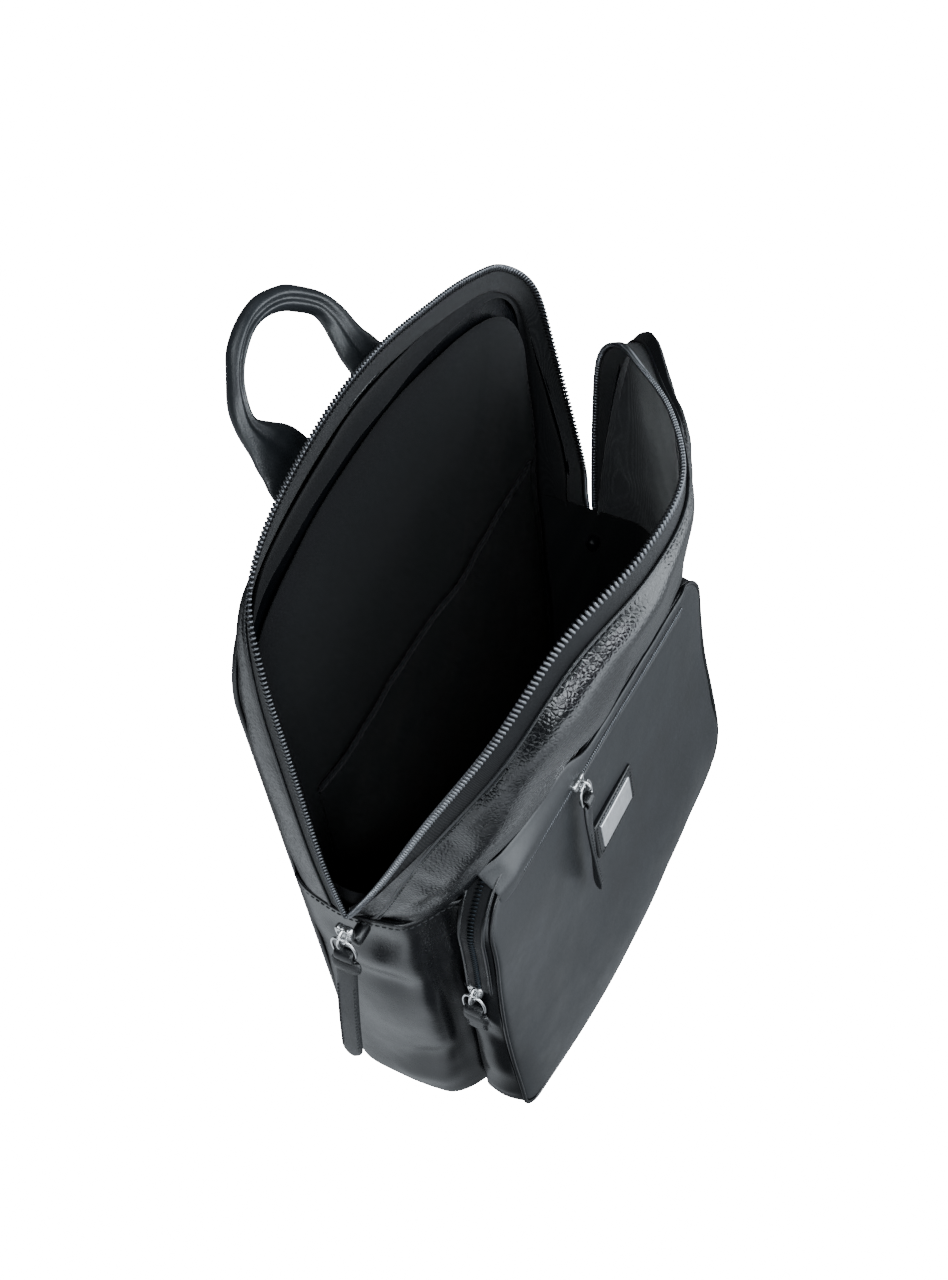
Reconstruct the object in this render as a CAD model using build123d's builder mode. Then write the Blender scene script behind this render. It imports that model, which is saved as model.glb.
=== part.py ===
"""Soft leather backpack standing on its base with the main zip open and the front yoke pulled forward.

Millimetres. The front faces -Y, the back panel and its straps face +Y, and +Z is up. The origin is on the
ground at the centre of the base. Left means -X, the side where the main zip slider rests.
"""

import os

from build123d import *

os.makedirs("parts", exist_ok=True)

# Driving dimensions
leather = 3.0  # shell leather with its stiffening
cloth = 0.8  # lining and zip tape
back_y = 44.0  # outer face of the back panel
front_y = -43.0  # outer face of the lower front panel
tub_height = 212.0  # the side walls are whole up to here, where the main zip ends
base_left, base_right = -142.0, 140.0
rim_left, rim_right = -151.0, 142.0  # the open mouth pushes the left wall outwards
tub_corner = 14.0
corner_band = 14.0  # a side panel wraps this far round each vertical corner

back_top = 405.0
back_half_width = 144.0
back_shoulder = 384.0
back_corner = 52.0
foam_half_width = 126.0
foam_corner = 44.0
foam_thickness = 6.0
sleeve_gap = 6.6
sleeve_height = 268.0

pocket_bottom, pocket_top = 4.0, 215.0
pocket_centre = -2.0
pocket_half_bottom, pocket_half_top = 134.0, 130.0
pocket_reach = 45.0
pocket_corner_top, pocket_corner_bottom = 28.0, 12.0
piping = 2.4

zip_inset = 8.0  # the leather edge stands this far back from the zip line
tape_width = 11.0
coil_width = 3.0
coil_thickness = 2.0

handle_radius = 7.5
handle_core_radius = 4.4
handle_half_span = 46.0
handle_leg = 30.0
handle_lean = 30.0
handle_pivot = (-6, 52, 382)

strap_top = Vector(48, 46, 340)
strap_bottom = Vector(116, 46, 34)
pad_half_width = 27.0
webbing_half_width = 12.5


def finish(builder, name):
    """Labels a finished piece and writes its STEP file."""
    builder.part.label = name
    export_step(builder.part, f"parts/{name}.step")


# Tub: side, front and bottom panels of the lower body -------------------------------------------------


tub_depth = back_y - leather - front_y


def tub_plan(left, right, inset):
    """Draws the tub's rounded plan, inset from its outer face."""
    with Locations(((left + right) / 2, front_y + tub_depth / 2)):
        RectangleRounded(right - left - 2 * inset, tub_depth - 2 * inset, tub_corner - inset)


def tub_wall(left, right, rear):
    """Part of the tub's leather wall between two X planes and in front of a Y plane."""
    with BuildPart() as wall:
        for inset, mode in ((0, Mode.ADD), (leather, Mode.SUBTRACT)):
            with BuildSketch(Plane.XY):
                tub_plan(base_left, base_right, inset)
            with BuildSketch(Plane.XY.offset(tub_height)):
                tub_plan(rim_left, rim_right, inset)
            loft(mode=mode)
        with BuildSketch(Plane.XY.offset(-1)):
            with Locations(((left + right) / 2, (front_y - 5 + rear) / 2)):
                Rectangle(right - left, rear - front_y + 5)
        extrude(amount=tub_height + 2, mode=Mode.INTERSECT)
    return wall


finish(tub_wall(rim_left - 5, base_left + corner_band, back_y), "left_side_panel")
finish(tub_wall(base_right - corner_band, rim_right + 5, back_y), "right_side_panel")
finish(tub_wall(base_left + corner_band, base_right - corner_band, 0), "front_panel")

tub_middle = (base_left + base_right) / 2
facing_width, facing_height = 250.0, 15.0  # strip that carries the front panel up behind the pocket
with BuildPart() as front_facing:
    with BuildSketch(Plane.XZ.offset(-front_y - leather)):
        with Locations((tub_middle, tub_height + facing_height / 2)):
            Rectangle(facing_width, facing_height)
    extrude(amount=leather)
finish(front_facing, "front_facing")

with BuildPart() as bottom_panel:
    with BuildSketch():
        with Locations((tub_middle, (back_y - leather + front_y) / 2)):
            RectangleRounded(
                base_right - base_left - 2 * leather,
                back_y - front_y - 3 * leather,
                tub_corner - leather,
            )
    extrude(amount=leather)
finish(bottom_panel, "bottom_panel")

board_width, board_depth, board_thickness = 268.0, 66.0, 2.0
with BuildPart() as bottom_board:
    with BuildSketch(Plane.XY.offset(leather)):
        with Locations((tub_middle, -3)):
            RectangleRounded(board_width, board_depth, 6)
    extrude(amount=board_thickness)
finish(bottom_board, "bottom_board")

with BuildPart() as right_front_gusset:
    with BuildSketch(Plane.YZ.offset(rim_right - leather)):
        with BuildLine():
            Polyline(
                (-38, tub_height),
                (3, tub_height),
                (0, 300),
                (-8, 345),
                (-30, 345),
                (-38, 300),
                close=True,
            )
        make_face()
    extrude(amount=leather)
finish(right_front_gusset, "right_front_gusset")

# Back panel, foam, lining and laptop sleeve -----------------------------------------------------------


def back_outline(half_width, foot, inset, corner):
    """Tall panel with a gently crowned top and round shoulders."""
    top, shoulder = back_top - inset, back_shoulder - inset
    with BuildSketch() as outline:
        with BuildLine():
            Polyline((half_width, shoulder), (half_width, foot), (-half_width, foot), (-half_width, shoulder))
            ThreePointArc((half_width, shoulder), (0, top), (-half_width, shoulder))
        make_face()
        fillet(outline.vertices().sort_by(Axis.Y)[-2:], corner)
    return outline.sketch


with BuildPart() as back_panel:
    with BuildSketch(Plane.XZ.offset(-back_y)):
        add(back_outline(back_half_width, 0, 0, back_corner))
    extrude(amount=leather)
finish(back_panel, "back_panel")

foam_foot = 8.0
foam_outline = back_outline(foam_half_width, foam_foot, 12, foam_corner)
with BuildPart() as back_foam:
    with BuildSketch(Plane.XZ.offset(leather - back_y)):
        add(foam_outline)
    extrude(amount=foam_thickness)
finish(back_foam, "back_foam")

lining_y = back_y - leather - foam_thickness
with BuildPart() as back_lining:
    with BuildSketch(Plane.XZ.offset(-lining_y)):
        add(foam_outline)
    extrude(amount=cloth)
finish(back_lining, "back_lining")

sleeve_y = lining_y - cloth - sleeve_gap
sleeve_half_width = foam_half_width - 4
sleeve_seam = 2.0  # the sleeve is joined to the back lining down both sides and along its foot
sleeve_middle = (foam_foot + sleeve_height) / 2
sleeve_seam_x = sleeve_half_width - sleeve_seam / 2
with BuildPart() as laptop_sleeve:
    with BuildSketch(Plane.XZ.offset(-sleeve_y)):
        with Locations((0, sleeve_middle)):
            Rectangle(2 * sleeve_half_width, sleeve_height - foam_foot)
    extrude(amount=1.2)
    with BuildSketch(Plane.XZ.offset(-sleeve_y)):
        with Locations((-sleeve_seam_x, sleeve_middle), (sleeve_seam_x, sleeve_middle)):
            Rectangle(sleeve_seam, sleeve_height - foam_foot)
        with Locations((0, foam_foot + sleeve_seam / 2)):
            Rectangle(2 * sleeve_half_width, sleeve_seam)
    extrude(amount=-sleeve_gap)
finish(laptop_sleeve, "laptop_sleeve")

# Curved bands that follow the zip: upper back gusset and front yoke -----------------------------------
# A station is a foot point, a rim point on the zip line and a direction into the bag.

back_stations = [
    ((-144, 41, 214), (-162, 0, 214), (1, -0.2, 0)),
    ((-144, 41, 340), (-155, 14, 366), (1, -0.3, 0)),
    ((-130, 41, 374), (-143, 21, 404), (0.8, -0.6, -0.5)),
    ((-104, 41, 389), (-112, 34, 421), (0.4, -1, -0.4)),
    ((-56, 41, 400), (-58, 38, 433), (0, -1, 0)),
    ((0, 41, 402), (0, 38, 437), (0, -1, 0)),
    ((55, 41, 400), (56, 38, 427), (0, -1, 0)),
    ((100, 41, 390), (105, 35, 412), (-0.4, -1, -0.4)),
    ((128, 41, 372), (137, 29, 389), (-0.8, -0.6, -0.5)),
    ((143, 41, 340), (145, 21, 350), (-1, -0.3, 0)),
    ((143, 41, 214), (142, 5, 214), (-1, 0, 0)),
]

front_stations = [
    ((-152, -20, 236), (-153, -24, 264), (1, 0, 0)),
    ((-151, -36, 235), (-150, -50, 304), (1, 0.2, 0)),
    ((-144, -50, 236), (-138, -82, 356), (0.8, 0.6, 0)),
    ((-110, -62, 236), (-108, -111, 402), (0.2, 1, 0)),
    ((-48, -67, 236), (-48, -123, 424), (0, 1, 0)),
    ((15, -70, 238), (15, -107, 419), (0, 1, 0)),
    ((70, -73, 241), (67, -71, 400), (-0.1, 1, 0)),
    ((116, -66, 246), (112, -31, 376), (-0.4, 1, 0)),
    ((133, -48, 262), (128, -15, 352), (-0.9, 0.4, 0)),
    ((134, -26, 275), (132, -7, 322), (-1, 0.1, 0)),
]


def refined(stations):
    """Adds a station halfway between each pair, which keeps a twisted band even in thickness."""
    fuller = [stations[0]]
    for here, there in zip(stations, stations[1:]):
        halfway = [tuple((p + q) / 2 for p, q in zip(u, v)) for u, v in zip(here, there)]
        fuller += [halfway, there]
    return fuller


def band(stations, foot_gap, rim_gap, depth, thickness, width=None):
    """Ruled band from foot_gap above the foot to rim_gap below the zip line, lying depth inside the skin.

    With a width, the band is that wide and ends at rim_gap.
    """
    with BuildPart() as strip:
        for foot, rim, inward in stations:
            foot, rim, inward = Vector(*foot), Vector(*rim), Vector(*inward)
            rise = rim - foot
            top = rise.length - rim_gap
            low = foot_gap if width is None else top - width
            section_plane = Plane(origin=foot, x_dir=rise, z_dir=rise.cross(inward))
            with BuildSketch(section_plane):
                with BuildLine():
                    Polyline(
                        (low, depth),
                        (top, depth),
                        (top, depth + thickness),
                        (low, depth + thickness),
                        close=True,
                    )
                make_face()
        loft(ruled=True)
    return strip


lining_depth = leather + 0.4
tape_depth = lining_depth + cloth + 0.4
coil_depth = tape_depth - (coil_thickness - cloth) / 2
for side, stations in (("back", refined(back_stations)), ("front", refined(refined(front_stations)))):
    skin = "upper_back_gusset" if side == "back" else "front_yoke"
    lining = "gusset_lining" if side == "back" else "yoke_lining"
    finish(band(stations, 0.2, zip_inset, 0, leather), skin)
    finish(band(stations, 1, zip_inset + 1, lining_depth, cloth), lining)
    finish(band(stations, 0, coil_width, tape_depth, cloth, tape_width), f"{side}_zip_tape")
    finish(band(stations, 0, 0, coil_depth, coil_thickness, coil_width - 0.1), f"{side}_zip_coil")

with BuildPart() as zip_stops:
    with BuildSketch(Plane.XY.offset(tub_height - 9)):
        with Locations((rim_left - 1.4, -3), (rim_right + 1.4, 4)):
            RectangleRounded(2.4, 12, 0.8)
    extrude(amount=8)
finish(zip_stops, "zip_stops")

# Front pocket -----------------------------------------------------------------------------------------


def pocket_outline(inset):
    """Front view of the pocket: slightly wider at the foot, with rounder upper corners."""
    low, high = pocket_bottom + inset, pocket_top - inset
    wide, narrow = pocket_half_bottom - inset, pocket_half_top - inset
    with BuildSketch() as outline:
        with Locations((pocket_centre, 0)):
            Polygon((-wide, low), (wide, low), (narrow, high), (-narrow, high), align=None)
        fillet(outline.vertices().sort_by(Axis.Y)[-2:], pocket_corner_top - inset)
        fillet(outline.vertices().sort_by(Axis.Y)[:2], pocket_corner_bottom - inset)
    return outline.sketch


pocket_face_line = [(-77, 2), (-80, 45), (-72, 100), (-62, 218)]
face_lean = (0, -118, 10)  # outward direction of the upper, flat stretch of the face


def pocket_face_y(height):
    """Y of the pocket's face on its upper, flat stretch."""
    (low_y, low_z), (high_y, high_z) = pocket_face_line[2:]
    return low_y + (height - low_z) * (high_y - low_y) / (high_z - low_z)


def pocket_shell(outset, inset, start, end):
    """Ring or plate of the pocket between two outlines and two depths under the face."""
    outer = [(y + start, z) for y, z in pocket_face_line]
    inner = [(min(y + end, front_y), z) for y, z in reversed(pocket_face_line)]
    with BuildPart() as shell:
        with BuildSketch(Plane.XZ.offset(-front_y)):
            add(pocket_outline(outset))
            if inset is not None:
                add(pocket_outline(inset), mode=Mode.SUBTRACT)
        extrude(amount=pocket_reach)
        with BuildSketch(Plane.YZ):
            Polygon(*outer, *inner, align=None)
        extrude(amount=150, both=True, mode=Mode.INTERSECT)
    return shell


finish(pocket_shell(piping, None, 0, leather), "pocket_face")
finish(pocket_shell(0, piping, -0.8, leather), "pocket_piping")
finish(pocket_shell(0, leather, leather, pocket_reach + leather), "pocket_gusset")

pocket_zip_foot = 138.0
pocket_zip_y = -52.0


def pocket_zip(outset, inset, width):
    """Part of the zip that runs up the pocket's left wall and across its top."""
    with BuildPart() as run:
        with BuildSketch(Plane.XZ.offset(-front_y)):
            add(pocket_outline(outset))
            add(pocket_outline(inset), mode=Mode.SUBTRACT)
        extrude(amount=pocket_reach)
        with BuildSketch(Plane.YZ):
            with Locations((pocket_zip_y, pocket_zip_foot + 50)):
                Rectangle(width, 100)
        extrude(amount=150, both=True, mode=Mode.INTERSECT)
        with BuildSketch(Plane.XY.offset(pocket_zip_foot - 1)):
            with Locations((85, pocket_zip_y)):
                Rectangle(120, 60)
        extrude(amount=110, mode=Mode.SUBTRACT)
    return run


finish(pocket_zip(-0.7, 0, 9), "pocket_zip_tape")
finish(pocket_zip(-2.2, -0.7, 2.6), "pocket_zip_coil")

slot_zip_z = 207.0
slot_tape = (196.0, 5.0)
slot_coil = (192.0, 2.4)
slot_tape_thickness = 0.7
slot_face = Plane(
    origin=(pocket_centre, pocket_face_y(slot_zip_z) - 0.1, slot_zip_z), x_dir=(1, 0, 0), z_dir=face_lean
)
with BuildPart() as slot_zip_tape:
    with BuildSketch(slot_face):
        Rectangle(*slot_tape)
    extrude(amount=slot_tape_thickness)
finish(slot_zip_tape, "slot_zip_tape")

with BuildPart() as slot_zip_coil:
    with BuildSketch(slot_face.offset(slot_tape_thickness)):
        Rectangle(*slot_coil)
    extrude(amount=1.2)
finish(slot_zip_coil, "slot_zip_coil")

label_x = -6.0
label_z = 142.0
label_size = (50.0, 30.0)
plate_size = (38.0, 20.0)
patch_thickness = 1.4
plate_thickness = 0.9
label_face = Plane(origin=(label_x, pocket_face_y(label_z) - 0.1, label_z), x_dir=(1, 0, 0), z_dir=face_lean)
with BuildPart() as label_patch:
    with BuildSketch(label_face):
        RectangleRounded(*label_size, 2)
    extrude(amount=patch_thickness)
finish(label_patch, "label_patch")

with BuildPart() as label_plate:
    with BuildSketch(label_face.offset(patch_thickness)):
        RectangleRounded(*plate_size, 1)
    extrude(amount=plate_thickness)
finish(label_plate, "label_plate")

# Zip sliders, each with a ring and a leather pull -----------------------------------------------------
# In a slider's plane +Y points up, +Z points away from the bag, and the origin is on the zip's surface.

slider_top = 4.6
eye_height = 6.6
wire = 0.8
ring_half_width = 6.4
ring_drop = 12.0
pull_thickness = 2.4
fold_radius = 2.9
fold_bore = 1.5
fold_width = 9.0
fold_length = 5.0
main_pull_lean = 13.0


def slider_body(face, width, length):
    """Slider shoe with a bridge that the ring passes under."""
    with BuildPart() as body:
        with BuildSketch(face):
            RectangleRounded(width, length, 2.2)
        extrude(amount=slider_top)
        fillet(body.faces().sort_by(Axis(face.origin, face.z_dir))[-1].edges(), 0.8)
        with BuildSketch(face.offset(slider_top)):
            RectangleRounded(4.4, 6.4, 1.2)
        extrude(amount=4.2)
        tunnel = Plane(origin=face.origin + face.z_dir * eye_height, x_dir=face.y_dir, z_dir=face.x_dir)
        with BuildSketch(tunnel):
            Circle(1.3)
        extrude(amount=10, both=True, mode=Mode.SUBTRACT)
    return body


def pull_ring(face):
    """Flat wire loop: its upper bar lies in the bridge and its lower bar carries the pull."""
    with BuildPart() as ring:
        with BuildSketch(face.offset(eye_height - wire)):
            with Locations((0, -ring_drop / 2)):
                RectangleRounded(2 * ring_half_width, ring_drop + 2 * wire, 1.5)
                Rectangle(2 * (ring_half_width - 2 * wire), ring_drop - 2 * wire, mode=Mode.SUBTRACT)
        extrude(amount=2 * wire)
    return ring


def pull_strap(face, tail_width, length, lean):
    """Leather strip folded round the ring's lower bar; below the fold it widens and leans outward."""
    side = Plane(
        origin=face.origin + face.z_dir * eye_height - face.y_dir * ring_drop,
        x_dir=face.z_dir,
        z_dir=face.x_dir * -1,
    )
    hang = Vector(0, -1, 0).rotate(Axis.Z, lean)
    with BuildPart() as pull:
        with BuildSketch(side):
            Circle(fold_radius)
            with Locations(hang * (length / 2)):
                Rectangle(pull_thickness, length, rotation=lean)
            Circle(fold_bore, mode=Mode.SUBTRACT)
        extrude(amount=fold_width / 2, both=True)
        with BuildSketch(side):
            with Locations(hang * ((fold_length + length) / 2)):
                Rectangle(pull_thickness, length - fold_length, rotation=lean)
        extrude(amount=tail_width / 2, both=True)
    return pull


def face_plane(origin, outward):
    """Slider plane whose +Y points up and whose +Z points outward."""
    across = Vector(0, 0, 1).cross(Vector(*outward))
    return Plane(origin=origin, x_dir=across, z_dir=outward)


main_zip_face = face_plane((-164.6, -1, 208), (-1, 0, 0))
pocket_zip_face = face_plane((-136.2, pocket_zip_y, pocket_zip_foot + 2), (-1, 0, 0.019))
slot_zip_face = face_plane((-38, pocket_face_y(slot_zip_z) - 2.4, slot_zip_z), face_lean)

for name, face, width, length, tail_width, pull_length, lean in (
    ("main", main_zip_face, 10, 14, 12.5, 80, main_pull_lean),
    ("pocket", pocket_zip_face, 9, 12, 13.5, 20, 0),
    ("slot", slot_zip_face, 12, 7, 9.0, 74, 0),
):
    finish(slider_body(face, width, length), f"{name}_slider")
    finish(pull_ring(face), f"{name}_ring")
    finish(pull_strap(face, tail_width, pull_length, lean), f"{name}_pull")

# Carrying handle --------------------------------------------------------------------------------------

handle_plane = Plane(origin=handle_pivot, x_dir=(1, 0, 0), z_dir=(0, -1, 0)).rotated((-handle_lean, 0, 0))


def handle_tube(outer, inner):
    """Tube along the handle's path: a leg, a half round and a second leg."""
    with BuildPart() as tube:
        with BuildLine(handle_plane) as path:
            rise = Line((-handle_half_span, 0), (-handle_half_span, handle_leg))
            crown = (0, handle_leg + handle_half_span)
            ThreePointArc(rise @ 1, crown, (handle_half_span, handle_leg))
            Line((handle_half_span, handle_leg), (handle_half_span, 0))
        with BuildSketch(Plane(origin=path.line @ 0, z_dir=path.line % 0)):
            Circle(outer)
            if inner:
                Circle(inner, mode=Mode.SUBTRACT)
        sweep()
    return tube


finish(handle_tube(handle_radius, handle_core_radius + 0.1), "handle_grip")
finish(handle_tube(handle_core_radius, 0), "handle_core")

with BuildPart() as handle_tabs:
    with BuildSketch(Plane.XZ.offset(-back_y)):
        with Locations((handle_pivot[0] - handle_half_span, 365), (handle_pivot[0] + handle_half_span, 365)):
            RectangleRounded(26, 20, 5)
    extrude(amount=-3)
finish(handle_tabs, "handle_tabs")

# Shoulder straps --------------------------------------------------------------------------------------

webbing_level = 11.0
webbing_thickness = 2.5
pad_start, pad_end = 12.0, 205.0
pad_middle = 105.0
pad_inner_bow, pad_outer_bow = 21.0, 32.0
pad_taper = (70.0, 160.0)  # the pad is full width between these
glide_start = 241.0
glide_length = 14.0
webbing_end = 305.0
anchor_spans = ((-10, 10), (307, 326))
anchor_reach = 14.0


def strap_plane(side):
    """Plane of one strap's bow: +X runs down from the top anchor to the bottom one, +Y away from the back."""
    top = Vector(side * strap_top.X, strap_top.Y, strap_top.Z)
    down = Vector(side * (strap_bottom.X - strap_top.X), 0, strap_bottom.Z - strap_top.Z)
    return Plane(origin=top, x_dir=down, z_dir=down.cross(Vector(0, 1, 0)))


with BuildPart() as strap_anchors:
    for side in (-1, 1):
        for start, end in anchor_spans:
            with BuildSketch(strap_plane(side)):
                with BuildLine():
                    Polyline((start, -2), (end, -2), (end, anchor_reach), (start, anchor_reach), close=True)
                make_face()
            extrude(amount=13, both=True)
finish(strap_anchors, "strap_anchors")

for side, name in ((-1, "left"), (1, "right")):
    bow = strap_plane(side)
    with BuildPart() as strap_pad:
        with BuildSketch(bow):
            with BuildLine():
                ThreePointArc((pad_start, 10), (pad_middle, pad_inner_bow), (pad_end, 10.5))
                Line((pad_end, 10.5), (pad_end, 18))
                ThreePointArc((pad_end, 18), (pad_middle, pad_outer_bow), (pad_start, 16))
                Line((pad_start, 16), (pad_start, 10))
            make_face()
        extrude(amount=pad_half_width, both=True)
        with BuildSketch(Plane(origin=bow.origin, x_dir=bow.x_dir, z_dir=bow.y_dir)):
            with BuildLine():
                upper = [(pad_start - 1, 17), (pad_taper[0], pad_half_width), (pad_taper[1], pad_half_width)]
                upper += [(pad_end + 1, 16)]
                Polyline(*upper, *[(x, -y) for x, y in reversed(upper)], close=True)
            make_face()
        extrude(amount=60, mode=Mode.INTERSECT)
    finish(strap_pad, f"{name}_strap_pad")

    with BuildPart() as webbing:
        with BuildSketch(bow):
            with Locations(((pad_end + webbing_end) / 2, webbing_level + webbing_thickness / 2)):
                Rectangle(webbing_end - pad_end - 1, webbing_thickness)
        extrude(amount=webbing_half_width, both=True)
    finish(webbing, f"{name}_webbing")

    with BuildPart() as tri_glide:
        glide_plane = Plane(bow.origin + bow.x_dir * glide_start, x_dir=bow.z_dir * -1, z_dir=bow.x_dir)
        with BuildSketch(glide_plane):
            with Locations((0, webbing_level + webbing_thickness / 2)):
                RectangleRounded(2 * webbing_half_width + 8, 8, 2)
                Rectangle(2 * webbing_half_width + 1, webbing_thickness + 0.9, mode=Mode.SUBTRACT)
        extrude(amount=glide_length)
    finish(tri_glide, f"{name}_tri_glide")
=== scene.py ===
"""Looks of a black leather backpack that stands with its main zip open. Lengths are in millimetres until a mesh is made."""

import math

import bmesh
import bpy
from mathutils import Matrix, Vector, noise


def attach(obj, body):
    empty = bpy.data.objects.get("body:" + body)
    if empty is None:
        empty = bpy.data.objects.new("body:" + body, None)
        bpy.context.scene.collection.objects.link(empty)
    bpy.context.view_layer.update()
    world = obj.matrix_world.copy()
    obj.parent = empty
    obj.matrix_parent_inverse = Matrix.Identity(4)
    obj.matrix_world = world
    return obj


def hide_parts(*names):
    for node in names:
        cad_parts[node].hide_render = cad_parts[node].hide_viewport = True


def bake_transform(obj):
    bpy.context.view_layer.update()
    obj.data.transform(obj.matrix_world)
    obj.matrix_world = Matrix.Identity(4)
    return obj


MM = 0.001
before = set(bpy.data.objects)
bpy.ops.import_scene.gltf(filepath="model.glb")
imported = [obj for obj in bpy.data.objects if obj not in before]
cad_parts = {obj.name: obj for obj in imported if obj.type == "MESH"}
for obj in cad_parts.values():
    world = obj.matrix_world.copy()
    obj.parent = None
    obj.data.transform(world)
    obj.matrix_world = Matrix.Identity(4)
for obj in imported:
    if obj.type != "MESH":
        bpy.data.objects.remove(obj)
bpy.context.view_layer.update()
MIDDLE = Vector((0, -5, 210))


# Curves and meshes --------------------------------------------------------------------------------------


def vecs(points):
    return [Vector(p) for p in points]


def at(points, t):
    """Point at parameter t on the Catmull-Rom curve through the points, which may be numbers or vectors."""
    last = len(points) - 1
    i = max(0, min(int(t), last - 1))
    f = t - i
    b, c = points[i], points[i + 1]
    a = points[i - 1] if i > 0 else b * 2 - c
    d = points[i + 2] if i + 2 <= last else c * 2 - b
    return (b * 2 + (c - a) * f + (a * 2 - b * 5 + c * 4 - d) * f**2 + (b * 3 - a - c * 3 + d) * f**3) * 0.5


def length(points):
    return sum((q - p).length for p, q in zip(points, points[1:]))


def even(points, count, start=0.0, end=1.0):
    """Parameters that cut the curve through the points into even lengths, between two shares of its length."""
    steps = 24 * (len(points) - 1)
    ts = [i / 24 for i in range(steps + 1)]
    places = [at(points, t) for t in ts]
    run = [0.0]
    for p, q in zip(places, places[1:]):
        run.append(run[-1] + (q - p).length)
    out, j = [], 0
    for k in range(count):
        want = run[-1] * (start + (end - start) * k / (count - 1))
        while j < steps - 1 and run[j + 1] < want:
            j += 1
        out.append(ts[j] + (ts[j + 1] - ts[j]) * (want - run[j]) / max(run[j + 1] - run[j], 1e-9))
    return out


def curve(points, count, start=0.0, end=1.0):
    points = vecs(points)
    return [at(points, t) for t in even(points, count, start, end)]


def mesh_object(name, verts, faces, mat, smooth=True):
    mesh = bpy.data.meshes.new(name)
    mesh.from_pydata([Vector(v) * MM for v in verts], [], faces)
    mesh.validate()
    mesh.materials.append(mat)
    mesh.polygons.foreach_set("use_smooth", [smooth] * len(mesh.polygons))
    mesh.update()
    obj = bpy.data.objects.new(name, mesh)
    bpy.context.scene.collection.objects.link(obj)
    return obj


def grid(name, rows, mat, thick=0.0, offset=-1.0, levels=1, wrap=False, centre=MIDDLE, close_ends=False, cap=False):
    """Sheet through rows of points. Its faces look away from the centre, and its thickness goes inwards."""
    wide = len(rows[0])
    verts = [p for row in rows for p in row]
    faces = []
    for i in range(len(rows) - 1):
        for j in range(wide if wrap else wide - 1):
            a, b = i * wide + j, i * wide + (j + 1) % wide
            faces.append((a, b, b + wide, a + wide))
    if cap:
        faces.append(tuple(range(len(verts) - wide, len(verts))))
    if close_ends:
        faces.append(tuple(reversed(range(wide))))
        faces.append(tuple(range(len(verts) - wide, len(verts))))
    obj = mesh_object(name, verts, faces, mat)
    mesh = obj.data
    if centre is not None:
        away = sum((f.center / MM - centre).normalized().dot(f.normal) * f.area for f in mesh.polygons)
        if away < 0:
            mesh.flip_normals()
    if close_ends:
        bm = bmesh.new()
        bm.from_mesh(mesh)
        bmesh.ops.recalc_face_normals(bm, faces=bm.faces)
        bm.to_mesh(mesh)
        bm.free()
    if thick:
        solid = obj.modifiers.new("Thickness", "SOLIDIFY")
        solid.thickness = thick * MM
        solid.offset = offset
        solid.use_even_offset = False
    if levels:
        subdivide(obj, levels)
    return obj


def subdivide(obj, levels):
    sub = obj.modifiers.new("Smooth", "SUBSURF")
    sub.levels = levels
    sub.render_levels = levels


def sculpt(obj, amount):
    """Moves each point along its normal by amount(point), in millimetres."""
    mesh = obj.data
    normals = [v.normal.copy() for v in mesh.vertices]
    for v, n in zip(mesh.vertices, normals):
        v.co += n * amount(v.co / MM) * MM
    mesh.update()


def crease(p, a, b, width, depth):
    """A fold along the line from a to b that fades out at both ends."""
    a, b = Vector(a), Vector(b)
    along = b - a
    f = max(0.0, min(1.0, (p - a).dot(along) / along.length_squared))
    off = (p - a - along * f).length / width
    return depth * math.exp(-off * off) * math.sin(math.pi * (0.08 + 0.84 * f))


def waves(p, size, depth, seed=0.0):
    return depth * noise.noise(p / size + Vector((seed, seed * 0.7, -seed)))


def frames(line, hint, closed=False):
    """A tangent, side and normal at each point of a line. The normal is as near to the hint as it can be."""
    out = []
    n = len(line)
    for i in range(n):
        if closed:
            t = line[(i + 1) % n] - line[i - 1]
        else:
            t = line[min(i + 1, n - 1)] - line[max(i - 1, 0)]
        t.normalize()
        h = hint[i] if isinstance(hint, list) else hint
        side = t.cross(h).normalized()
        out.append((t, side, side.cross(t).normalized()))
    return out


def sweep(name, line, section, hint, mat, levels=1, closed=False, scale=None):
    """A closed section, in (side, normal) millimetres, carried along a line."""
    rows = []
    for i, (t, side, up) in enumerate(frames(line, hint, closed)):
        k = scale(i / (len(line) - 1)) if scale else (1, 1)
        rows.append([line[i] + side * a * k[0] + up * b * k[1] for a, b in section])
    if closed:
        rows.append(rows[0])
    return grid(name, rows, mat, levels=levels, wrap=True, centre=None, close_ends=not closed)


def round_section(radius, sides=12, flat=1.0):
    return [
        (radius * math.cos(2 * math.pi * k / sides), radius * flat * math.sin(2 * math.pi * k / sides))
        for k in range(sides)
    ]


def slab_section(width, thick, crown=0.0):
    """A flat strip with soft edges, crowned in the middle."""
    w, h = width / 2, thick / 2
    top = [(-w, -h * 0.2), (-w, h * 0.4), (-w + h, h), (-w / 2, h + crown * 0.7), (0, h + crown)]
    top += [(w / 2, h + crown * 0.7), (w - h, h), (w, h * 0.4), (w, -h * 0.2)]
    return top + [(w - h * 0.6, -h), (w / 2, -h), (0, -h), (-w / 2, -h), (-w + h * 0.6, -h)]


def repeated(name, spots, shape, faces, mat):
    """One mesh of many small copies. A spot is an origin and three axes; shape is in those axes."""
    verts, all_faces = [], []
    for origin, x, y, z in spots:
        base = len(verts)
        verts += [origin + x * a + y * b + z * c for a, b, c in shape]
        all_faces += [tuple(base + k for k in face) for face in faces]
    return mesh_object(name, verts, all_faces, mat)


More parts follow.
